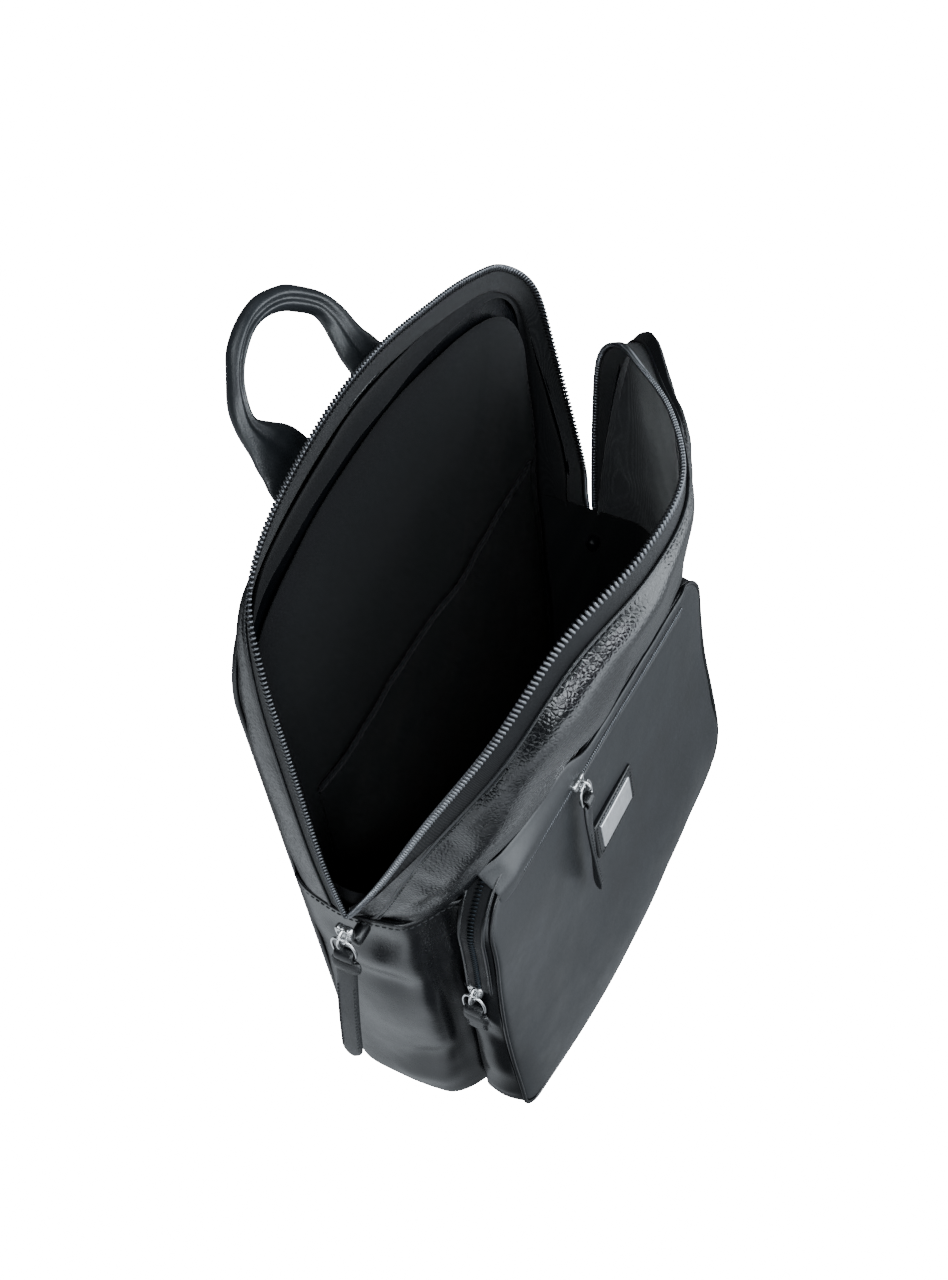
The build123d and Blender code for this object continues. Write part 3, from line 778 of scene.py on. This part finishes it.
def wall_folds(p):
    fold = waves(p, 30, 1.2, 16) + waves(p, 11, 0.2, 17)
    fold += crease(p, (-138, -44, 132), (-137, -66, 96), 6, 2.6) + crease(p, (-138, -44, 112), (-137, -62, 74), 6, -2.2)
    fold += crease(p, (-138, -48, 70), (-137, -68, 40), 9, 2.0)
    return fold if p.z > 12 else 0


sculpt(wall, wall_folds)
place(wall, "bag", "shell_leather", "pocket_gusset")


def pocket_path(f, lift, from_z=139.0, end_x=96.0):
    """Line on the pocket's left wall and top, at a share f of the wall's depth."""
    chosen = []
    start = max(range(len(POCKET)), key=lambda i: -POCKET[i][0] * 10 - abs(POCKET[i][1] - from_z))
    left = sorted([q for q in POCKET if q[0] < -100 and q[1] >= from_z], key=lambda q: q[1])
    top = sorted([q for q in POCKET if q[0] >= -100 and q[1] > 200 and q[0] < end_x], key=lambda q: q[0])
    for x, z in left + top:
        p, out = wall_point(x, z, f)
        chosen.append((p + out * lift, out))
    return [p for p, o in chosen], [o for p, o in chosen]


mid_line, mid_out = pocket_path(0.44, 0.9)
ts = even(mid_line, 140)
mid_line, mid_out = [at(mid_line, t) for t in ts], [at(mid_out, t).normalized() for t in ts]
tape = sweep("pocket_zip_band", mid_line, slab_section(12.5, 1.0), mid_out, tape_cloth, levels=1)
place(tape, "bag", "zip_tape", "pocket_zip_tape")
verts, faces = prism(1.9, 0.55, 1.3, low=-0.2)
spots = [(p, s, t, n) for p, t, s, n in along(mid_line, mid_out, 2.1, 0.55)]
place(repeated("pocket_zip_teeth", spots, verts, faces, coil_dark), "bag", "zip_coil", "pocket_zip_coil")
for side in (-1, 1):
    lip = []
    for (t, s, n), p in zip(frames(mid_line, mid_out), mid_line):
        lip.append(p + s * side * 6.7 + n * 0.1)
    lip = sweep(f"pocket_zip_lip_{'front' if side < 0 else 'rear'}", lip, round_section(1.25, 8, 0.8), mid_out, trim_leather)
    place(lip, "bag", "trim_leather")

# The slot zip along the top of the face, under a leather lip that gapes to the right of the slider
slot_x = [(-98 + 196 * k / 79) for k in range(80)]
slot_line = [Vector((x, face_y(x, 207) - 1.3, 207)) for x in slot_x]
slot_out = Vector((0, -118, 12)).normalized()
place(sweep("slot_zip_band", slot_line, slab_section(6.5, 0.8), slot_out, tape_cloth), "bag", "zip_tape", "slot_zip_tape")
spots = [(p, s, t, n) for p, t, s, n in along(slot_line, slot_out, 1.6, 0.4)]
verts, faces = prism(1.4, 0.5, 0.9, low=-0.2)
place(repeated("slot_zip_teeth", spots, verts, faces, coil_metal), "bag", "zip_coil", "slot_zip_coil")
SEAM_Y = vecs([(-136, -44, 0), (-120, -52, 0), (-108, -56.5, 0), (-85, -60.5, 0), (-62, -62.5, 0), (-38, -63, 0), (-10, -64, 0), (112, -70, 0)])


def seam_y(x):
    """How far forward the foot of the yoke stands, at a distance across the bag."""
    t = spread([p.x for p in SEAM_Y], x)
    return at(SEAM_Y, t).y


rows = []
for k in range(11):
    f = k / 10
    row = []
    for x in [-119 + 229 * j / 109 for j in range(110)]:
        gape = 1 / (1 + math.exp(-(x + 32) / 5))
        high = 227.0 - 10.5 * gape
        low = 201.5 + 7.4 * gape
        z = high + (low - high) * f
        lift = (2.2 - 0.8 * gape) * math.sin(math.pi * min(1, f * 0.85 + 0.1)) + 1.0
        ends = max(0.0, min(1.0, (x + 119) / 14, (111 - x) / 10))
        y = face_y(x, min(z, 213))
        if z > 213:
            y += (seam_y(x) + 1.0 - y) * min(1.0, (z - 213) / 12) * (1 - gape)
        row.append(Vector((x, y - lift * ends, z)))
    rows.append(row)
lip = grid("slot_zip_flap", rows, pocket_leather, thick=1.4, levels=1, centre=Vector((-2, 0, 200)))
sculpt(lip, lambda p: waves(p, 22, 0.5, 31))
place(lip, "bag", "pocket_leather")
lip_line = [Vector((x, face_y(x, 203) - 1.3, 203)) for x in slot_x[26:]]
place(sweep("slot_zip_lower_lip", lip_line, round_section(1.3, 8, 0.6), slot_out, pocket_leather), "bag", "pocket_leather")

# Label
label_n = Vector((0, -118, 10)).normalized()
label_up = Vector((1, 0, 0)).cross(label_n) * -1
label_origin = Vector((LABEL_X, face_y(LABEL_X, LABEL_Z) - 2.2, LABEL_Z))


def plate(name, width, height, radius, levels, mat, origin=label_origin, n=label_n, up=label_up):
    """Flat plate with rounded corners; levels are (inset, height) pairs from its foot up."""
    w, h = width / 2, height / 2
    outline = rounded([(-w, -h), (w, -h), (w, h), (-w, h)], [radius] * 4, 5, 8)
    across = up.cross(n)
    rows = []
    for inset, high in levels:
        rows.append([origin + across * (x * (1 - inset / w)) + up * (z * (1 - inset / h)) + n * high for x, z in outline])
    last = levels[-1][1]
    for s in (0.6, 0.3, 0.04):
        rows.append([origin + across * x * s + up * z * s + n * last for x, z in outline])
    return grid(name, rows, mat, wrap=True, cap=True, levels=0, centre=origin - n * 20)


patch = plate("label_leather", 50, 30, 2.4, [(0, -2.5), (0, 0.6), (0.35, 1.2), (1.0, 1.5), (2.0, 1.3), (3.2, 1.35)], trim_leather)
place(patch, "bag", "trim_leather", "label_patch")
badge = plate("label_metal", 38, 20, 1.2, [(0, 1.0), (0, 1.9), (0.25, 2.2), (0.7, 2.3)], plate_metal)
place(badge, "bag", "silver_plate", "label_plate")
frame_line = []
for x, z in rounded([(-22.6, -12.6), (22.6, -12.6), (22.6, 12.6), (-22.6, 12.6)], [2] * 4, 4, 10):
    frame_line.append(label_origin + label_up.cross(label_n) * x + label_up * z + label_n * 1.35)
place(stitches("label_stitches", frame_line + frame_line[:1], label_n, thread, pitch=2.6, size=0.9), "bag", "trim_leather")

# Zip sliders and pulls ----------------------------------------------------------------------------------


def slab(name, axes, outline, levels, mat, smooth=1):
    """Solid over an outline in a slider's plane; levels are (scale, height) pairs."""
    origin, x, y, z = axes
    rows = [[origin + x * a * s + y * b * s + z * h for a, b in outline] for s, h in levels]
    return grid(name, rows, mat, wrap=True, levels=smooth, centre=None, close_ends=True)


def slider(name, axes, width, tall):
    origin, x, y, z = axes
    w, h = width / 2, tall / 2
    shoe = [(-w * 0.62, -h), (w * 0.62, -h), (w * 0.8, -h * 0.5), (w, h * 0.3), (w, h * 0.85), (w * 0.55, h)]
    shoe += [(0, h * 0.72), (-w * 0.55, h), (-w, h * 0.85), (-w, h * 0.3), (-w * 0.8, -h * 0.5)]
    made = slab(f"{name}_slider_shoe", axes, shoe, [(0.9, 0.2), (1, 0.5), (1, 3.4), (0.97, 4.0), (0.8, 4.5)], nickel)
    place(made, f"{name}_slider", "zip_metal", f"{name}_slider")
    arch = curve([origin + y * a * h + z * b for a, b in ((0.75, 3.6), (0.62, 7.4), (0, 9.0), (-0.62, 7.4), (-0.75, 3.6))], 22)
    made = sweep(f"{name}_slider_bridge", arch, slab_section(3.4, 1.5), x.copy(), nickel, levels=1)
    place(made, f"{name}_slider", "zip_metal")


def ring(name, axes, half_width, drop, wire):
    """D-shaped wire ring that hangs from the slider's bridge."""
    origin, x, y, z = axes
    eye = origin + z * 6.6
    shape = [(-half_width * 0.55, 0.4), (half_width * 0.55, 0.4), (half_width, -drop * 0.35), (half_width * 1.02, -drop * 0.85)]
    shape += [(half_width * 0.8, -drop), (-half_width * 0.8, -drop), (-half_width * 1.02, -drop * 0.85), (-half_width, -drop * 0.35)]
    loop = vecs([(*p, 0) for p in shape])
    closed = loop[-1:] + loop + loop[:2]
    line = []
    for k in range(8):
        for f in range(6):
            p = at(closed, 1 + k + f / 6)
            line.append(eye + x * p.x + y * p.y)
    made = sweep(f"{name}_wire_ring", line, round_section(wire, 8), z.copy(), nickel, closed=True)
    place(made, f"{name}_ring", "zip_metal", f"{name}_ring")


def strap_end(f):
    """Rounds the last of a leather strip."""
    past = max(0.0, (f - 0.9) / 0.1)
    return (math.sqrt(max(0.02, 1 - past * past)), 1 - 0.25 * past)


def pull(name, axes, line, width, thick, shoulder=0.0, twist=0.0, drop=12.0, lean=0.0):
    """Leather pull: a rolled loop round the ring's lower bar, a wider shoulder under it, and a flat tail."""
    origin, x, y, z = axes
    bar = origin + z * 6.6 - y * drop
    turn = Matrix.Rotation(math.radians(-lean), 3, y.cross(z))
    y, z = turn @ y, turn @ z
    loop = []
    for k in range(19):
        a = math.radians(-72 + 324 * k / 18)
        loop.append(bar - y * 1.0 + z * 2.6 * math.cos(a) + y * 3.3 * math.sin(a))
    hints = [(p - bar).normalized() for p in loop]
    made = sweep(f"{name}_pull_fold", loop, slab_section(width * 0.86, 1.5, 0.2), hints, pull_leather)
    place(made, f"{name}_pull", "pull_leather")
    path = curve([bar + x * a - y * b + z * c for a, b, c in line], 36)
    hints = [Matrix.Rotation(math.radians(twist) * k / 35, 3, y) @ z for k in range(36)]
    tail = sweep(f"{name}_pull_tail", path, slab_section(width, thick, 0.25), hints, pull_leather, scale=strap_end)
    place(tail, f"{name}_pull", "pull_leather", f"{name}_pull")
    if shoulder:
        deep = path[0].lerp(path[-1], 0.0)
        yoke_line = [deep - y * (0.6 + 1.3 * k) + z * 0.4 for k in range(8)]
        made = sweep(
            f"{name}_pull_shoulder", yoke_line, slab_section(shoulder, 4.6, 0.5), z.copy(), pull_leather,
            scale=lambda f: (0.84 + 0.16 * math.sin(math.pi * f), 0.55 + 0.45 * math.sin(math.pi * f)),
        )  # fmt: skip
        place(made, f"{name}_pull", "pull_leather")
    axes_p = frames(path, hints)
    for side in (-1, 1):
        edge_line = [p + s * side * (width / 2 - 1.6) + n * (thick / 2 + 0.1) for p, (t, s, n) in list(zip(path, axes_p))[9:-4]]
        word = "left" if side < 0 else "right"
        made = stitches(f"{name}_pull_stitches_{word}", edge_line, hints[9:-4], thread, pitch=2.6, size=0.85)
        place(made, f"{name}_pull", "pull_leather")


def slider_axes(origin, outward):
    z = Vector(outward).normalized()
    x = Vector((0, 0, 1)).cross(z).normalized()
    return Vector(origin), x, z.cross(x), z


slot_y = -72 + (207 - 100) * 10 / 118 - 2.4
SLIDERS = {
    "main": (slider_axes((-164.6, -1, 208), (-1, 0, 0)), 10, 14, 6.4),
    "pocket": (slider_axes((-136.2, -52, 140), (-1, 0, 0.019)), 9, 12, 6.0),
    "slot": (slider_axes((-38, slot_y, 207), (0, -118, 10)), 12, 8, 5.6),
}
for name, (axes, width, tall, half) in SLIDERS.items():
    slider(name, axes, width, tall)
    ring(name, axes, half, 12.0, 0.85)
MAIN_PULL = [(0, 3.6, -0.6), (0.2, 22, 0.4), (0.4, 50, 0.8), (0.5, 81, -0.2)]
POCKET_PULL = [(0, 3.6, -0.4), (0.1, 10, 0.2), (0.2, 20, 0.0)]
SLOT_PULL = [(0, 3.0, 0.0), (-3.5, 12, 1.0), (-6.0, 30, 1.6), (-7.0, 50, 1.6), (-7.0, 74, 1.0)]
pull("main", SLIDERS["main"][0], MAIN_PULL, 13, 2.8, shoulder=18.0, lean=13.0)
pull("pocket", SLIDERS["pocket"][0], POCKET_PULL, 13, 2.8, shoulder=16.5)
pull("slot", SLIDERS["slot"][0], SLOT_PULL, 9, 2.3, twist=62)

for x, y, side in ((-164.0, -2, -1), (146.0, 3, 1)):
    axes = slider_axes((x, y, 198), (side, 0, 0))
    tab = [(-3.4, -7), (3.4, -7), (3.6, -2), (3.4, 3), (-3.4, 3), (-3.6, -2)]
    made = slab(f"zip_end_tab_{'left' if side < 0 else 'right'}", axes, tab, [(0.9, -13), (1, -12), (1, -0.4), (0.86, 0.4)], trim_leather)
    place(made, "bag", "trim_leather", *(("zip_stops",) if side < 0 else ()))

# Handle -------------------------------------------------------------------------------------------------

PIVOT = Vector((-6, 52, 382))
LEAN = math.radians(30)
rise = Vector((0, math.sin(LEAN), math.cos(LEAN)))
handle_path = [(-45, -14, -3.6), (-44, 0, -1.2), (-43, 13, 0), (-43.5, 24, 0), (-46.5, 36, 0), (-48.5, 48, 0), (-44, 59, 0)]
handle_path += [(-37, 67.5, 0), (-27, 74.7, 0), (-15.8, 79.3, 0), (-2, 80, 0), (10.3, 76.5, 0), (20.3, 69.3, 0), (28, 61, 0)]
handle_path += [(31, 51.5, 0), (31, 43, 0), (31.5, 33, 0), (34, 21, 0), (38, 8, -0.6), (42, -11, -3)]
points = [PIVOT + Vector((a, 0, 0)) + rise * b + Vector((0, 1, 0)) * c for a, b, c in handle_path]
line = curve(points, 90)


HANDLE_WIDTHS = [2.7, 3.8, 4.2, 3.3, 1.5, 1.0, 0.95, 1.0, 1.2, 1.35, 1.4, 1.8, 2.5, 2.9, 2.6, 2.0]
HANDLE_DEPTHS = [0.6, 0.7, 0.85, 1.0, 1.05, 1.1, 1.1, 1.2, 1.3, 1.3, 1.15, 1.15, 1.15, 1.1, 0.8, 0.6]


def handle_scale(f):
    """Width and thickness of the handle: a slim roll that opens into flat ends, wider on the near one."""
    t = f * (len(HANDLE_WIDTHS) - 1)
    widths, depths = vecs([(v, 0, 0) for v in HANDLE_WIDTHS]), vecs([(v, 0, 0) for v in HANDLE_DEPTHS])
    return (at(widths, t).x, at(depths, t).x)


handle_section = []
for k in range(32):
    a, b = 4.6 * math.cos(math.tau * k / 32), 4.3 * math.sin(math.tau * k / 32)
    groove = 0.45 * math.exp(-(((a + 0.6) / 0.9) ** 2))
    handle_section.append((a, b * (1 - groove)))


flat_hint = Vector((0, math.cos(LEAN), -math.sin(LEAN)))
handle = sweep("handle_rolled_leather", line, handle_section, flat_hint, handle_leather, levels=1, scale=handle_scale)
sculpt(handle, lambda p: waves(p, 13, 0.8, 20) + waves(p, 5, 0.22, 21) * (1.8 if p.z < 412 else 0.5))
HANDLE_BLEND = (tuple(PIVOT), tuple(PIVOT + rise * 26))
place(handle, "handle", "handle_leather", "handle_grip", "handle_core", blend=HANDLE_BLEND)
for x, side in ((-46, "left"), (45, "right")):
    origin = Vector((PIVOT.x + x, 45.4, 366))
    made = plate(
        f"handle_tab_{side}", 30, 26, 6, [(0, -1.5), (0, 1.2), (0.8, 2.6), (2.0, 3.2), (3.0, 3.0), (4.4, 3.2)],
        handle_leather, origin=origin, n=Vector((0, 1, 0)), up=Vector((0, 0, 1)),
    )  # fmt: skip
    place(made, "bag", "handle_leather", *(("handle_tabs",) if side == "left" else ()))
    box = rounded([(-11, -9), (11, -9), (11, 9), (-11, 9)], [2] * 4, 3, 8)
    line_box = [origin + Vector((a, 3.25, b)) for a, b in box]
    place(stitches(f"handle_tab_stitches_{side}", line_box + line_box[:1], Vector((0, 1, 0)), thread, pitch=3), "bag", "handle_leather")

# Shoulder straps ----------------------------------------------------------------------------------------

for side, name in ((-1, "left"), (1, "right")):
    top = Vector((side * 48, 46, 340))
    down = Vector((side * 68, 0, -306)).normalized()
    out = Vector((0, 1, 0))
    across = down.cross(out)
    if across.x * side > 0:
        across = -across
    spine = curve([top + down * a + out * b for a, b in ((11, 13.0), (40, 19), (75, 24.5), (110, 26.5), (150, 23.5), (185, 17), (206, 13.5))], 60)

    def half_width(f):
        return at([16.0, 22.5, 26.5, 27.0, 26.5, 22.0, 15.5], f * 6)

    def half_thick(f):
        return at([2.6, 4.2, 5.2, 5.4, 5.2, 4.4, 2.8], f * 6)

    section = []
    for k in range(28):
        a = 2 * math.pi * k / 28
        c, s = math.cos(a), math.sin(a)
        section.append((math.copysign(abs(c) ** 0.42, c), math.copysign(abs(s) ** 0.75, s)))
    rows = []
    for i, (t, s, n) in enumerate(frames(spine, out)):
        f = i / 59
        w, h = half_width(f), half_thick(f)
        row = []
        for a, b in section:
            groove = 0.34 * math.exp(-(((abs(a) - 0.80) / 0.045) ** 2))
            row.append(spine[i] + s * a * w + n * b * h * (1 - groove))
        rows.append(row)
    pad = grid(f"{name}_strap_padding", rows, strap_leather, levels=1, wrap=True, centre=None, close_ends=True)
    sculpt(pad, lambda p: waves(p, 16, 0.7, 22) + waves(p, 6, 0.2, 23))
    place(pad, f"{name}_strap", "strap_leather", f"{name}_strap_pad")
    for edge_side, word in ((-1, "outer"), (1, "inner")):
        run = []
        for i, (t, s, n) in enumerate(frames(spine, out)):
            f = i / 59
            if 0.03 < f < 0.97:
                run.append(spine[i] + s * edge_side * 0.80 * half_width(f) + n * half_thick(f) * 0.72)
        place(stitches(f"{name}_strap_stitches_{word}", run, out, thread, lift=0.15), f"{name}_strap", "strap_leather")
    tail = curve([top + down * a + out * b for a, b in ((203, 12.3), (222, 12.2), (250, 12.2), (280, 12.2), (304.5, 12.25))], 40)
    ribs = [(-12.5, -0.8), (-12.5, 0.8), (-11, 1.25)] + [(-10 + k, 1.25 - 0.35 * (k % 2)) for k in range(0, 21)]
    ribs += [(11, 1.25), (12.5, 0.8), (12.5, -0.8), (11, -1.25), (0, -1.25), (-11, -1.25)]
    made = sweep(f"{name}_webbing_tail", tail, ribs, out, webbing_cloth, levels=0)
    place(made, f"{name}_strap", "webbing", f"{name}_webbing")
    centre = top + down * 248 + out * 12.25
    for j, (low, high) in enumerate(((-7, -4.6), (-1.2, 1.2), (4.6, 7))):
        mid = (low + high) / 2
        bar = [centre + across * a + down * mid + out * (2.6 if j == 1 else -2.6) for a in (-14, -7, 0, 7, 14)]
        made = sweep(f"{name}_glide_bar_{j}", curve(bar, 12), round_section(1.15, 10), out, nickel)
        place(made, f"{name}_glide", "zip_metal", *((f"{name}_tri_glide",) if j == 0 else ()))
    for j in (-1, 1):
        rail = [centre + across * j * 14.6 + down * a + out * b for a, b in ((-7.2, -2.4), (-3, -1.4), (0, 1.6), (3, -1.4), (7.2, -2.4))]
        made = sweep(f"{name}_glide_rail_{'left' if j < 0 else 'right'}", curve(rail, 16), round_section(1.5, 10), out, nickel)
        place(made, f"{name}_glide", "zip_metal")
    for place_name, a, high, b in (("top", 0, 13, 26), ("bottom", 316, 12, 26)):
        origin = top + down * a + out * -1.2
        outline = [(-12.5, -10), (12.5, -10), (13, 0), (12, 10), (-12, 10), (-13, 0)]
        axes = (origin, across, -down, out)
        made = slab(f"{name}_anchor_{place_name}", axes, outline, [(0.96, 0), (1, 1), (1, high - 1), (0.9, high + 0.6), (0.7, high + 0.9)], strap_leather)
        place(made, "bag", "strap_leather", *(("strap_anchors",) if side < 0 and place_name == "top" else ()))

# Camera, floor and light --------------------------------------------------------------------------------

scene = bpy.context.scene
camera = bpy.data.objects.new("camera", bpy.data.cameras.new("camera"))
scene.collection.objects.link(camera)
eye, target = Vector((-0.4423, -0.2897, 0.8488)), Vector((0.0148, 0.0189, 0.2283))
forward = (target - eye).normalized()
up = Vector((0.698, 0.287, 0.657))
right = forward.cross(up).normalized()
up = right.cross(forward)
camera.matrix_world = Matrix((
    (right.x, up.x, -forward.x, eye.x), (right.y, up.y, -forward.y, eye.y),
    (right.z, up.z, -forward.z, eye.z), (0, 0, 0, 1),
))  # fmt: skip
camera.data.lens = 41.83
camera.data.sensor_width = 36.0
camera.data.clip_start = 0.01
scene.camera = camera



def only_seen(tree, seen, felt):
    """A value that the camera sees, and another that everything else is lit by."""
    path = tree.nodes.new("ShaderNodeLightPath")
    mix = tree.nodes.new("ShaderNodeMapRange")
    tree.links.new(path.outputs["Is Camera Ray"], mix.inputs["Value"])
    if isinstance(felt, bpy.types.NodeSocket):
        tree.links.new(felt, mix.inputs["To Min"])
    else:
        mix.inputs["To Min"].default_value = felt
    mix.inputs["To Max"].default_value = seen
    return mix.outputs["Result"]


def cool_seen(tree):
    """White to the camera and slightly blue to everything it lights."""
    path = tree.nodes.new("ShaderNodeLightPath")
    ramp = tree.nodes.new("ShaderNodeValToRGB")
    ramp.color_ramp.elements[0].color = (0.87, 0.935, 1.0, 1)
    ramp.color_ramp.elements[1].color = (1, 1, 1, 1)
    tree.links.new(path.outputs["Is Camera Ray"], ramp.inputs["Fac"])
    return ramp.outputs["Color"]


ground = Nodes("pale_floor_painted_light")
# Near-black floor colour, so that the light the floor sends back onto the bag is almost all the painted light below.
grain = ground.ramp(ground.noise(6.0, 3.0), ((0.2, (0.050, 0.050, 0.052)), (0.8, (0.062, 0.062, 0.062))))


def painted_light_pool(direction, start, end, low=0.0, high=1.0):
    """Pool of painted light on the floor: brightness that changes smoothly across the floor along a direction, in
    metres.
    """
    across = ground.tree.nodes.new("ShaderNodeVectorMath")
    across.operation = "DOT_PRODUCT"
    across.inputs[1].default_value = direction
    ground.link(ground.place, across.inputs[0])
    rise = ground.tree.nodes.new("ShaderNodeMapRange")
    rise.interpolation_type = "SMOOTHSTEP"
    for name, value in (("From Min", start), ("From Max", end), ("To Min", low), ("To Max", high)):
        rise.inputs[name].default_value = value
    ground.link(across.outputs["Value"], rise.inputs["Value"])
    return rise.outputs["Result"]


def combined(operation, first, second):
    node = ground.tree.nodes.new("ShaderNodeMath")
    node.operation = operation
    ground.link(first, node.inputs[0])
    ground.link(second, node.inputs[1])
    return node.outputs[0]


# Painted light and painted shadow on the floor, seen by the bag but not by the camera. The floor is dark close beside
# the bag, where the bag's shadow would fall. It is bright in front, to the left, far in front and to the front left,
# where the leather mirrors it.
front = combined("MULTIPLY", painted_light_pool((1, 0, 0), -0.17, -0.09), painted_light_pool((0, -1, 0), 0.02, 0.09))
front = combined("MULTIPLY", front, painted_light_pool((1, 0, 0), -0.12, 0.2, 0.71, 0.32))
left = combined("MULTIPLY", painted_light_pool((-1, 0, 0), 0.09, 0.21, 0.0, 1.12), painted_light_pool((0, 1, 0), -0.075, -0.03))
far_painted_light = combined("ADD", painted_light_pool((0.1, -1, 0), 0.35, 1.1, 0.0, 3.4), painted_light_pool((-0.5, -0.86, 0), 0.27, 0.5, 0.0, 1.6))
felt = combined("ADD", combined("ADD", front, left), far_painted_light)
# Emission strength: even white for the camera, and the painted light and shadow above for everything else.
glow = only_seen(ground.tree, 24.0, felt)
floor_material = ground.done(Base_Color=grain, Roughness=0.9, Emission_Color=cool_seen(ground.tree), Emission_Strength=glow)
floor = mesh_object("floor", [(-4000, -4000, 0), (4000, -4000, 0), (4000, 4000, 0), (-4000, 4000, 0)], [(0, 1, 2, 3)], floor_material)

world = bpy.data.worlds.new("studio")
scene.world = world
world.use_nodes = True
world.node_tree.links.new(cool_seen(world.node_tree), world.node_tree.nodes["Background"].inputs["Color"])
world.node_tree.links.new(only_seen(world.node_tree, 24.0, 0.06), world.node_tree.nodes["Background"].inputs["Strength"])


def light(name, location, aim, size, power, color=(1, 1, 1)):
    lamp = bpy.data.lights.new(name, "AREA")
    lamp.shape = "RECTANGLE"
    lamp.size, lamp.size_y = size
    lamp.energy = power
    lamp.color = color
    obj = bpy.data.objects.new(name, lamp)
    scene.collection.objects.link(obj)
    obj.location = location
    obj.rotation_euler = (Vector(location) - Vector(aim)).to_track_quat("Z", "Y").to_euler()


COOL = (0.88, 0.945, 1.0)
light("key", (-0.6, -1.9, 1.9), (0, 0, 0.25), (1.0, 1.0), 44, COOL)
light("front", (0.85, -2.3, 1.0), (0, 0, 0.3), (1.8, 1.9), 84, COOL)
light("top", (-0.3, 0.5, 2.3), (0, 0, 0.2), (1.2, 0.9), 16, COOL)
light("rim", (-1.72, -0.78, 1.62), (-0.11, -0.1, 0.39), (0.95, 0.75), 34, COOL)
